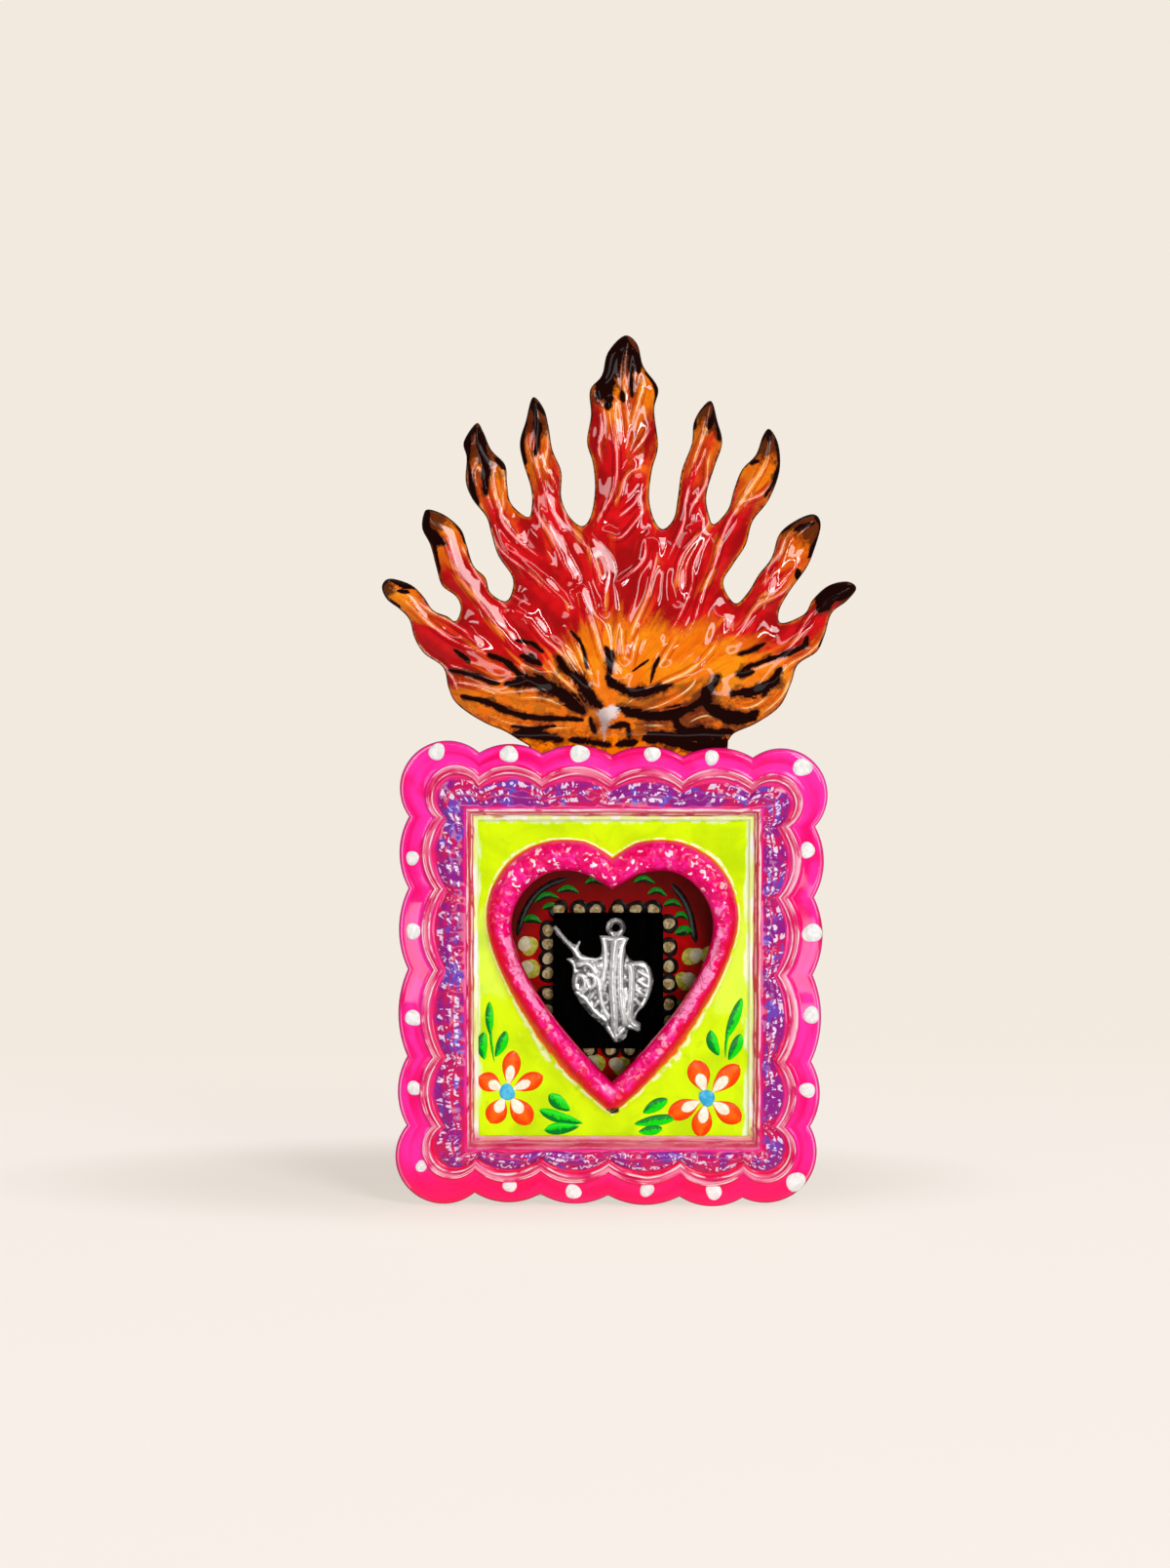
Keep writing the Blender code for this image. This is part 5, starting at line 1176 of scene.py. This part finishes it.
def silver_finish():
    """Bright struck silver, tarnished dark in its hollows."""
    finish, shader, place = new_finish("silver_charm_struck", metallic=0.5)
    lines = place.value("lines")
    tarnish = place.grain(1.2, 4)
    hollow = lines.slope(0.26, 0.06) * tarnish.slope(0.30, 0.55)
    colour = (hollow * 0.93).mix((0.98, 0.975, 0.96), (0.045, 0.04, 0.04))
    height = place.grain(0.4, 3)
    rough = 0.15 + 0.12 * tarnish
    wire(shader, {"Base Color": colour, "Roughness": rough, "Normal": height.bump(0.03)})
    return finish


# Paint: dots and brush strokes

# The profile of a dot from its top to its middle below, as shares of its radius and its height
DOT_ROWS = np.array([
    (0, 1), (0.35, 0.97), (0.6, 0.87), (0.8, 0.66), (0.93, 0.36), (1, 0), (1, -0.3), (0, -0.3),
])
DOT_SIDES = 24
STROKE_SIDES = 14
STROKE_SAMPLES = 24
SUNK = 0.3


def add_dots(name, centres, radii, height, y, seed, finish):
    """Domes: a profile turned about each centre, its rim wavering by sines of 2 and 3 turns."""
    count = len(centres)
    turn = -full_turn(DOT_SIDES)
    phase = np.random.default_rng(seed).uniform(0, math.tau, (2, count, 1))
    waver = 1 + 0.07 * np.sin(2 * turn + phase[0]) + 0.05 * np.sin(3 * turn + phase[1])
    radius = np.broadcast_to(radii, count)[:, None, None] * waver[:, None] * DOT_ROWS[None, :, :1]
    x = centres[:, 0, None, None] + radius * np.cos(turn)
    z = centres[:, 1, None, None] + radius * np.sin(turn)
    base = np.broadcast_to(y, count)[:, None, None]
    depth = np.broadcast_to(base - height * DOT_ROWS[None, :, 1:], x.shape)
    quads = grid_quads(len(DOT_ROWS), DOT_SIDES, wrap=True)
    quads = repeated(quads, len(DOT_ROWS) * DOT_SIDES, count)
    add_piece(name, np.stack([x, depth, z], -1), quads, [finish])


def add_strokes(name, paths, half_widths, height, y, swell, finish):
    """Brush strokes: a half round of paint carried along each path, as wide and high as swell says.

    along is the share of the way along a stroke, and side goes from -1 to 1 across it.
    """
    points, quads, along, side = [], [], [], []
    start = 0
    turn = full_turn(STROKE_SIDES)
    profile = np.where(np.sin(turn) > 0, 1, SUNK) * np.sin(turn)
    for path, half_width in zip(paths, half_widths):
        line = smooth_path(path, max(3, STROKE_SAMPLES // len(path)))
        t = np.linspace(0, 1, len(line))
        width = half_width * swell(t)
        out = left_of(np.gradient(line, axis=0))
        flat = line[:, None] + out[:, None] * (width[:, None] * np.cos(turn))[..., None]
        rise = height * np.minimum(swell(t), 1)[:, None] * profile
        points.append(np.stack([flat[..., 0], y - rise, flat[..., 1]], -1).reshape(-1, 3))
        quads.append(grid_quads(len(line), STROKE_SIDES, wrap=True) + start)
        along.append(np.repeat(t, STROKE_SIDES))
        side.append(np.tile(np.cos(turn), len(line)))
        start += len(points[-1])
    points, quads, along, side = (np.concatenate(rows) for rows in (points, quads, along, side))
    add_piece(name, points, quads, [finish], values={"along": along, "side": side})


def petal(t):
    """A petal's width: a sine wave that is widest past the middle, with blunt ends."""
    return np.sin(np.pi * np.clip(t, 0, 1) ** 1.45) ** 0.6


def leaf(t):
    """A leaf's width: a sine wave that is widest just before the middle, with pointed ends."""
    return np.sin(np.pi * np.clip(t, 0, 1) ** 0.9) ** 0.7


def line_end(t):
    """A line's width: even, and rounded off by a square root over an eighth at each end."""
    return np.sqrt(np.clip(np.minimum(t, 1 - t) * 8, 0, 1))


def new_paint(name):
    """A finish for brush paint: no gloss of its own under a thin clear coat."""
    return new_finish(name, specular_ior_level=0.0, coat_weight=0.3, coat_roughness=0.15)


def wire_bristles(shader, colour, bristles):
    """Links a colour, and gives it the gloss and the marks of the brush's bristles."""
    wire(shader, {
        "Base Color": colour, "Roughness": 0.36 + 0.15 * bristles, "Normal": bristles.bump(0.12),
    })


def paint_finish(name, dark, light, size=1.2, rough=0.38):
    """Brushed paint: two shades in clouds drawn out by the brush, with soft bristle lines."""
    finish, shader, place = new_paint(name)
    bristles = place.grain(size, 4, 0.7)
    colour = bristles.slope(0.36, 0.64).mix(dark, light)
    wire(shader, {
        "Base Color": colour, "Roughness": rough + 0.15 * bristles,
        "Normal": (bristles + 0.4 * place.grain(size / 4, 3)).bump(0.12),
    })
    return finish


def leaf_finish(name, dark, bright, light):
    """Two-tone green leaves: a dark side, a bright side and brush marks along them."""
    finish, shader, place = new_paint(name)
    side = place.value("side")
    bristles = place.grain(0.8, 4, 0.8)
    tone = (side + (bristles - 0.5) * 1.6).slope(-0.35, 0.25)
    colour = tone.mix(dark, bright)
    colour = (bristles.slope(0.60, 0.76) * 0.6).mix(colour, light)
    wire_bristles(shader, colour, bristles)
    return finish


def petal_finish():
    """Orange petals, redder along their sides and towards their tips."""
    finish, shader, place = new_paint("petal_orange")
    side, along = place.value("side"), place.value("along")
    bristles = place.grain(0.9, 4, 0.8)
    tone = (abs(side) + (along - 0.5) + (bristles - 0.5) * 1.2).slope(0.2, 1.0)
    wire_bristles(shader, tone.mix((0.93, 0.13, 0.004), (0.86, 0.045, 0.0)), bristles)
    return finish


# Places of the paint are points of the picture, and its sizes are in pixels.
# Dots on the frame's band: x, y and radius
WHITE_DOTS = (
    (448, 771, 8.5), (522, 773.5, 9), (594.5, 773, 9.5), (669, 773.5, 8), (730, 777, 7.5),
    (823, 787, 9.5),
    (423, 880, 7), (424, 955, 8), (424, 1044, 8.5), (425, 1116, 7.5), (432, 1196, 6),
    (828, 872, 8), (833, 957, 10), (832, 1041, 8.5), (828, 1118, 8), (816, 1212, 10),
    (523, 1216, 7), (588, 1222, 8), (663.5, 1220, 7.5), (732, 1222, 8.5),
)
# Flowers: the eye, then each petal's tip and half width
FLOWERS = (
    ((520, 1120), (
        (527, 1077, 8.5), (557, 1103, 8.5), (544, 1153, 10.5), (503, 1152, 10), (491, 1104, 9.5),
    )),
    ((725, 1126), (
        (712, 1087, 10.5), (758, 1092, 9.5), (760, 1150, 10), (717, 1166, 9.5), (685, 1145, 9.5),
    )),
)
EYE_RADIUS = 8.5
# Where the three points of a petal, and of the light stroke on it, lie on the way from the eye to the tip
PETAL_SHARES = (0.16, 0.55, 1)
LIGHT_SHARES = (0.16, 0.42, 0.70)
# Strokes: half width, then points
PANEL_LEAVES = (
    (3.6, (502, 1027), (502, 1045), (503, 1062)),
    (1.2, (503, 1045), (504, 1068), (507, 1090)),
    (4.8, (497, 1058), (494, 1072), (497, 1087)),
    (4.6, (519, 1057), (515, 1070), (508, 1084)),
    (4.8, (761, 1023), (753, 1045), (744, 1067)),
    (1.3, (750, 1052), (745, 1068), (744, 1086)),
    (5.2, (729, 1056), (731, 1070), (738, 1083)),
    (5.2, (760, 1060), (755, 1073), (747, 1088)),
    (6.0, (563, 1122), (572, 1130), (585, 1139)),
    (5.0, (553, 1138), (571, 1145), (598, 1152)),
    (5.4, (558, 1159), (574, 1157), (594, 1155)),
    (5.4, (685, 1127), (672, 1134), (659, 1142)),
    (5.0, (694, 1146), (673, 1149), (649, 1153)),
    (4.6, (680, 1157), (668, 1159), (654, 1161)),
)
INNER_ARCS = (
    (3.2, (530, 961), (534, 945), (541, 929), (552, 915), (566, 906), (584, 900)),
    (3.4, (688, 905), (701, 922), (708, 938), (711, 952), (714, 968)),
)
INNER_LEAVES = (
    (4, (549, 925), (560, 918), (574, 921)), (4, (571, 915), (583, 911), (594, 916)),
    (5, (537, 945), (546, 942), (556, 947)), (4, (556, 932), (564, 929), (572, 927)),
    (4, (664, 917), (674, 913), (684, 919)), (4, (680, 929), (690, 925), (699, 930)),
    (4, (692, 941), (699, 938), (706, 943)), (6, (692, 958), (702, 954), (713, 957)),
    (5, (541, 1011), (546, 1016), (545, 1024)), (5, (694, 1026), (698, 1032), (696, 1040)),
    (4, (600, 906), (610, 902), (622, 908)), (4, (650, 905), (660, 901), (672, 906)),
    (4, (650, 1089), (656, 1085), (662, 1088)),
)
# Dots round the block: x, y and the radius of the black ring under each
BLOCK_DOTS = (
    *((x, 933, 10.2) for x in (573, 594, 611, 634, 652, 670)),
    *((562, y, 9.8) for y in (954, 968, 983, 998, 1019, 1036)),
    *((686, y, 9.8) for y in (947, 971, 991, 1009, 1030, 1047)),
    *((x, 1076, 9.8) for x in (583, 604, 626, 646, 668)),
)
BLOCK_DOT_RADIUS = 6.2
# Pairs of a yellow dot and a straw one: x, y and the side that the straw one keeps from
PAIR_DOTS = (
    (543, 970, 1), (545, 994, 1), (709, 981, -1), (728, 979, -1), (702, 1006, -1), (715, 1014, -1),
    (612, 1091, 1), (637, 1093, 1),
)
YELLOW_RADIUS = 9.5
STRAW_RADIUS = 7.8
STRAW_SHIFT = (0.9, -0.3)
INNER_PIXEL = 0.2092


def add_paint():
    """Dots and strokes on the frame's band, on the lime panel and on the back wall."""
    white = paint_finish("white_paint", (0.68, 0.67, 0.65), (0.84, 0.83, 0.81), 1.1)
    cream = paint_finish("cream_paint", (0.86, 0.72, 0.52), (0.93, 0.87, 0.76), 0.9)
    wheat = paint_finish("wheat_paint", (0.46, 0.26, 0.06), (0.86, 0.70, 0.42), 0.9)
    straw = paint_finish("straw_paint", (0.80, 0.66, 0.36), (0.94, 0.84, 0.60), 0.9)
    yellow = paint_finish("yellow_paint", (0.55, 0.46, 0.03), (0.80, 0.74, 0.10), 1.2)
    blue = paint_finish("blue_paint", (0.03, 0.36, 0.62), (0.10, 0.50, 0.76), 1.2)
    black = paint_finish("black_paint", (0.004, 0.003, 0.003), (0.02, 0.012, 0.010), 1.2, 0.3)
    green = leaf_finish("leaf_green", (0.0, 0.19, 0.02), (0.006, 0.66, 0.004), (0.08, 0.76, 0.02))
    # Painted shade: a darker copy of the leaf green, for the leaves on the back wall inside the box
    shaded_green = leaf_finish(
        "shaded_leaf_green", (0.004, 0.03, 0.004), (0.006, 0.32, 0.010), (0.06, 0.55, 0.02),
    )
    orange = petal_finish()
    wall = PLATE_FRONT_Y

    spots = np.array(WHITE_DOTS)
    centres = seen_at(spots[:, :2], FRAME_BACK_Y - BAND_RELIEF)
    base = FRAME_BACK_Y - BAND_RELIEF - band_dents(*centres.T)
    add_dots("frame_dots", centres, spots[:, 2] * PIXEL, 0.32, base, 51, white)

    def on_panel(name, paths, half_widths, height, swell, finish):
        add_strokes(name, paths, half_widths, height, PANEL_Y, swell, finish)

    def on_wall(name, centres, radii, height, seed, finish):
        add_dots(name, centres, radii * INNER_PIXEL, height, wall, seed, finish)

    def traced(rows, y, pixel):
        """The strokes' paths in the plane at y, and their half widths."""
        return [seen_at(path, y) for _, *path in rows], [row[0] * pixel for row in rows]

    eyes = np.array([eye for eye, _ in FLOWERS])
    tips = np.array([petals for _, petals in FLOWERS])
    start, step = eyes[:, None, None], (tips[..., :2] - eyes[:, None])[:, :, None]
    long, short = (
        seen_at(start + step * np.array(shares)[:, None], PANEL_Y).reshape(-1, 3, 2)
        for shares in (PETAL_SHARES, LIGHT_SHARES)
    )
    half_widths = 1.1 * PIXEL * tips[..., 2].ravel()
    on_panel("petals", long, half_widths, 0.16, petal, orange)
    on_panel("petal_lights", short, 0.56 * half_widths, 0.26, petal, cream)
    eyes = seen_at(eyes, PANEL_Y)
    add_dots("flower_eyes", eyes, EYE_RADIUS * PIXEL, 0.38, PANEL_Y, 52, blue)
    on_panel("panel_leaves", *traced(PANEL_LEAVES, PANEL_Y, 1.2 * PIXEL), 0.16, leaf, green)

    paths, half_widths = traced(INNER_ARCS, wall, INNER_PIXEL)
    add_strokes("inner_arcs", paths, half_widths, 0.10, wall, line_end, black)
    paths, half_widths = traced(INNER_LEAVES, wall, 0.9 * INNER_PIXEL)
    add_strokes("inner_leaves", paths, half_widths, 0.16, wall, leaf, shaded_green)
    spots = np.array(BLOCK_DOTS)
    centres = seen_at(spots[:, :2], wall)
    on_wall("block_dot_rings", centres, spots[:, 2], 0.12, 53, black)
    on_wall("block_dots", centres, BLOCK_DOT_RADIUS, 0.30, 54, wheat)
    spots = np.array(PAIR_DOTS)
    centres = seen_at(spots[:, :2], wall)
    shift = np.stack([spots[:, 2] * STRAW_SHIFT[0], np.full(len(spots), STRAW_SHIFT[1])], 1)
    on_wall("yellow_dots", centres, YELLOW_RADIUS, 0.2, 55, yellow)
    on_wall("cream_dots", centres - shift, STRAW_RADIUS, 0.32, 56, straw)


# Box, foot, hanger and solder

BEAD_SIDES = 20
BEAD_ROWS = 13
# The ring: its hinge's (y, z), its wire's radius, half its bar, its corners' radius and its bow's drop
RING_HINGE = (16.3, 74.0)
RING_WIRE = 0.6
RING_BAR = 4.2
RING_CORNER = 1.4
RING_DROP = 12.0
RING_SIDES = 16


def tin_finish(name):
    """Tinplate: soft crystal patches, rolling lines and dull smears."""
    finish, shader, place = new_finish(name, metallic=1.0)
    colour, rough, height = tin_looks(place)
    wire(shader, {"Base Color": colour, "Roughness": rough, "Normal": height.bump(0.06)})
    return finish


def tin_looks(place):
    """The colour, the roughness and the height of tinplate."""
    crystals = place.cells(7).axis("X")
    lines = place.stretched(1, 1, 0.05).grain(0.6, 3)
    smears = place.grain(11, 4, 0.6)
    colour = crystals.slope(0.1, 0.9).mix((0.55, 0.54, 0.52), (0.61, 0.60, 0.57))
    colour = (smears.slope(0.52, 0.72) * 0.6).mix(colour, (0.36, 0.34, 0.31))
    return colour, 0.30 + 0.12 * lines + 0.22 * smears, lines + smears


def box_finish():
    """Tin outside, and red enamel brushed on inside: between the walls' middles. The red has painted
    shade towards the top and away from the middle.
    """
    finish, shader, place = new_finish("bare_tin_red_inside", specular_ior_level=0.1)
    tin, rough, height = tin_looks(place)
    x, y, z = (place.axis(letter) for letter in "XYZ")
    within = abs(x).slope(29.7, 29.6) * abs(z - 47).slope(34.1, 34.0) * y.slope(14.5, 14.4)
    brush = place.grain(3.5, 4, 0.5)
    red = brush.slope(0.35, 0.68).mix((0.52, 0.0, 0.001), (0.78, 0.003, 0.004))
    # Painted shade: the red darkens away from the middle and towards the top
    from_middle = x * x + (z - 42) * (z - 42) + (brush - 0.5) * 260
    dark = from_middle.slope(330, 600).at_least((z + (brush - 0.5) * 12).slope(53, 65) * 0.85)
    red = (dark * 0.85).mix(red, (0.085, 0.002, 0.001))
    wire(shader, {
        "Base Color": within.mix(tin, red), "Metallic": 1 - within,
        "Roughness": rough + within * 0.08, "Normal": (height + brush * 0.8).bump(0.08),
    })
    return finish


def block_finish():
    """Black lacquer with upright brush marks."""
    finish, shader, place = new_finish("black_lacquer_block", specular_ior_level=0.0)
    brush = place.stretched(1, 1, 0.25).grain(1.4, 4, 0.3)
    colour = brush.slope(0.4, 0.7).mix((0.0005, 0.0005, 0.0005), (0.0014, 0.0012, 0.0010))
    rough = 0.22 + 0.15 * brush
    wire(shader, {"Base Color": colour, "Roughness": rough, "Normal": brush.bump(0.05)})
    return finish


def solder_finish():
    """Grey solder, clouded and uneven."""
    finish, shader, place = new_finish("solder_grey", metallic=1.0)
    clouds = place.grain(1.2, 4)
    colour = clouds.slope(0.35, 0.7).mix((0.34, 0.34, 0.35), (0.60, 0.60, 0.60))
    rough = 0.28 + 0.25 * clouds
    wire(shader, {"Base Color": colour, "Roughness": rough, "Normal": clouds.bump(0.12)})
    return finish


def add_solder(finish):
    """Each bead is a ball stretched to its place, with lumps from hills over its two angles."""
    names = sorted(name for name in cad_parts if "solder" in name)
    low, high = (
        np.array([np.array(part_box(name)[end]) / MM for name in names])[:, None, None] for end in (0, 1)
    )
    turn = full_turn(BEAD_SIDES)
    tilt = np.linspace(0, math.pi, BEAD_ROWS)[:, None]
    x, y, z = np.sin(tilt) * np.cos(turn), np.sin(tilt) * np.sin(turn), np.cos(tilt) + 0 * turn
    lumps = np.array([1 + 0.10 * hills(x + 7 * n, z + y, 0.7, 61) for n in range(len(names))])
    points = np.stack([x, y, z], -1) * lumps[..., None] * (high - low) / 2 + (high + low) / 2
    quads = grid_quads(BEAD_ROWS, BEAD_SIDES, wrap=True)[:, ::-1]
    quads = repeated(quads, BEAD_ROWS * BEAD_SIDES, len(names))
    piece = add_piece("solder_beads", points, quads, [finish])
    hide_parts(*names)


def add_hanger_ring(finish):
    """Round wire carried along the ring's path: a bar, two corners and a long bow."""
    turn = np.linspace(0, math.pi / 2, 8)
    corner = np.array([RING_BAR, -RING_CORNER])
    corner = corner + RING_CORNER * np.stack([np.sin(turn), np.cos(turn)], 1)
    bow = np.linspace(0, math.pi, 60)
    bow = np.stack([(RING_BAR + RING_CORNER) * np.cos(bow), -RING_CORNER - RING_DROP * np.sin(bow)], 1)
    path = np.concatenate([corner[:-1], bow, corner[:0:-1] * (-1, 1)])
    side = left_of(np.roll(path, -1, 0) - np.roll(path, 1, 0))
    turn = full_turn(RING_SIDES)
    flat = path[:, None] + RING_WIRE * side[:, None] * np.cos(turn)[:, None]
    y = np.broadcast_to(RING_HINGE[0] - RING_WIRE * np.sin(turn), flat.shape[:2])
    points = np.stack([flat[..., 0], y, RING_HINGE[1] + flat[..., 1]], -1)
    rows, columns = y.shape
    quads = grid_quads(rows + 1, columns, wrap=True) % (rows * columns)
    piece = add_piece("hanger_wire", points, quads, [finish], body="hanger")
    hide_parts("hanger_ring")


def dress_nodes():
    """Finishes for the CAD nodes that stay as they are."""
    inside_red, tin, black = box_finish(), tin_finish("bare_tin_strip"), block_finish()
    kept = {
        "box_left_wall": inside_red, "box_right_wall": inside_red, "box_floor": inside_red,
        "box_roof": inside_red, "back_plate": inside_red,
        "rear_foot": tin, "hanger_strap": tin, "display_block": black,
    }
    for name, finish in kept.items():
        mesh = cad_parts[name].data
        mesh.materials.clear()
        mesh.materials.append(finish)


# Floor and light

CREAM = (0.915, 0.840, 0.755)
NEAR_CREAM = (1.0, 0.925, 0.86)
FOOT_SHADOW_CREAM = (1.0, 0.90, 0.81)
FLOOR_PAINT = (0.94, 0.90, 0.86)
DIM_CREAM = (0.20, 0.185, 0.17)
DIM_ROOM = (0.13, 0.127, 0.123)
SWEEP_RADIUS = 900
SWEEP_FRONT = -330
SWEEP_REACH = 4000
# The patch of the floor that the shrine shades most, where a shadow is also painted: its middle and its
# half widths, in x and y
FOOT_MIDDLE = (-25, 14)
FOOT_SPREAD = (120, 52)


def seen_rays(first):
    """1 for rays that show the background: those to the camera, and those by way of metal or glass."""
    camera, glossy, through = (
        first.node("LightPath", {}, {}, "Is %s Ray" % kind)
        for kind in ("Camera", "Glossy", "Transmission")
    )
    return camera, (glossy + through).at_most(1)


def add_floor():
    """A pale sweep: flat under the shrine, then a quarter circle up to a wall.

    The camera sees most of it at its own even colour, and less so near the foot, where the shadow lies
    and a warmer, darker glow is painted as shadow.
    """
    turn = np.linspace(0, math.pi / 2, 25)
    curve = SWEEP_RADIUS * np.stack([1 + np.sin(turn), 1 - np.cos(turn)], 1)
    top = (2 * SWEEP_RADIUS, SWEEP_REACH)
    profile = np.concatenate([[(SWEEP_FRONT, 0), (0, 0)], curve, [top]])
    width = np.linspace(-SWEEP_REACH, SWEEP_REACH, 9)
    points = np.stack(np.broadcast_arrays(width, profile[:, :1], profile[:, 1:]), -1)
    quads = grid_quads(len(profile), len(width))
    mesh = bpy.data.meshes.new("pale_sweep")
    mesh.from_pydata((points.reshape(-1, 3) * MM).tolist(), [], quads.tolist())
    mesh.shade_smooth()
    floor = bpy.data.objects.new("pale_sweep", mesh)
    bpy.context.scene.collection.objects.link(floor)
    finish, shader, place = new_finish("pale_sweep", roughness=0.9, specular_ior_level=0.0)
    shader.inputs["Base Color"].default_value = (*FLOOR_PAINT, 1)
    tree = finish.node_tree
    to_camera, by_metal = seen_rays(place)
    y = place.axis("Y")
    far, behind = y.slope(30, 200), y.slope(-60, 20)
    across, along = (
        (place.axis(letter) - middle) * (1 / spread)
        for letter, middle, spread in zip("XY", FOOT_MIDDLE, FOOT_SPREAD)
    )
    foot_shadow = (across * across + along * along).slope(1, 0)
    # Painted shadow: round the foot the glow is warmer and darker, and gives way more to the lit floor
    cream = far.mix(foot_shadow.mix(NEAR_CREAM, FOOT_SHADOW_CREAM), CREAM)
    cream = to_camera.mix(behind.mix(DIM_CREAM, CREAM), cream)
    glow = place.node("Emission", {}, {"Color": cream, "Strength": 1.0})
    even = (to_camera * (0.85 + 0.12 * far - 0.25 * foot_shadow)).at_least(by_metal * 0.85)
    blend = place.node("MixShader", {}, {0: even, 1: Shade(tree, shader.outputs[0]), 2: glow})
    tree.links.new(blend.socket, tree.nodes["Material Output"].inputs["Surface"])
    mesh.materials.append(finish)


def add_lamp(name, place, aim, size, power, matt=True, gloss=True):
    """An area lamp, which may light only matt paint, or show only in gloss as a white card does."""
    data = bpy.data.lights.new(name, "AREA")
    data.shape = "RECTANGLE"
    data.size, data.size_y = size
    data.energy = power
    lamp = bpy.data.objects.new(name, data)
    lamp.location = place
    lamp.rotation_euler = (Vector(aim) - Vector(place)).to_track_quat("-Z", "Y").to_euler()
    lamp.visible_diffuse = matt
    lamp.visible_glossy = gloss
    bpy.context.scene.collection.objects.link(lamp)


def add_light():
    """A key from the right and above, weaker lamps in front and at the left, five cards, a dim room.

    The room is pale where the camera sees it, and in gloss on the side behind the shrine.
    """
    add_lamp("key", (0.55, -0.85, 0.70), (0, 0, 0.08), (0.40, 0.50), 6.8)
    add_lamp("front", (0.06, -1.10, 0.13), (0, 0, 0.06), (0.22, 0.22), 5.6, gloss=False)
    add_lamp("fill", (-0.75, -0.75, 0.40), (0, 0, 0.09), (0.22, 0.45), 1.7)
    add_lamp("right_card", (0.47, -1.00, 0.34), (0, 0, 0.12), (0.15, 0.45), 1.9, matt=False)
    add_lamp("left_card", (-0.50, -0.98, 0.36), (0, 0, 0.12), (0.09, 0.40), 0.9, matt=False)
    add_lamp("top_card", (0.02, -0.95, 0.62), (0, 0, 0.12), (0.55, 0.07), 0.5, matt=False)
    add_lamp("strip", (0.27, -1.06, 0.36), (0, 0, 0.12), (0.035, 0.45), 1.4, matt=False)
    add_lamp("low_card", (0.03, -0.25, 0.02), (0, 0, 0.10), (0.26, 0.03), 0.11, matt=False)
    world = bpy.data.worlds.new("pale_room")
    bpy.context.scene.world = world
    world.use_nodes = True
    tree = world.node_tree
    ray = Shade(tree, tree.nodes.new("ShaderNodeTexCoord").outputs["Generated"])
    to_camera, by_metal = seen_rays(ray)
    pale = to_camera.at_least(by_metal * ray.axis("Y").slope(-0.3, 0.4))
    wire(tree.nodes["Background"], {"Color": pale.mix(DIM_ROOM, CREAM)})
    bpy.context.scene.view_settings.view_transform = "Standard"


add_camera()
back = tin_finish("bare_tin_back")
add_front_frame(frame_finish(), back)
add_heart_panel(panel_finish(), back)
add_flame_crown(crown_finish(), back)
add_charm(silver_finish())
add_paint()
add_solder(solder_finish())
add_hanger_ring(tin_finish("bare_tin_wire"))
dress_nodes()
add_floor()
add_light()
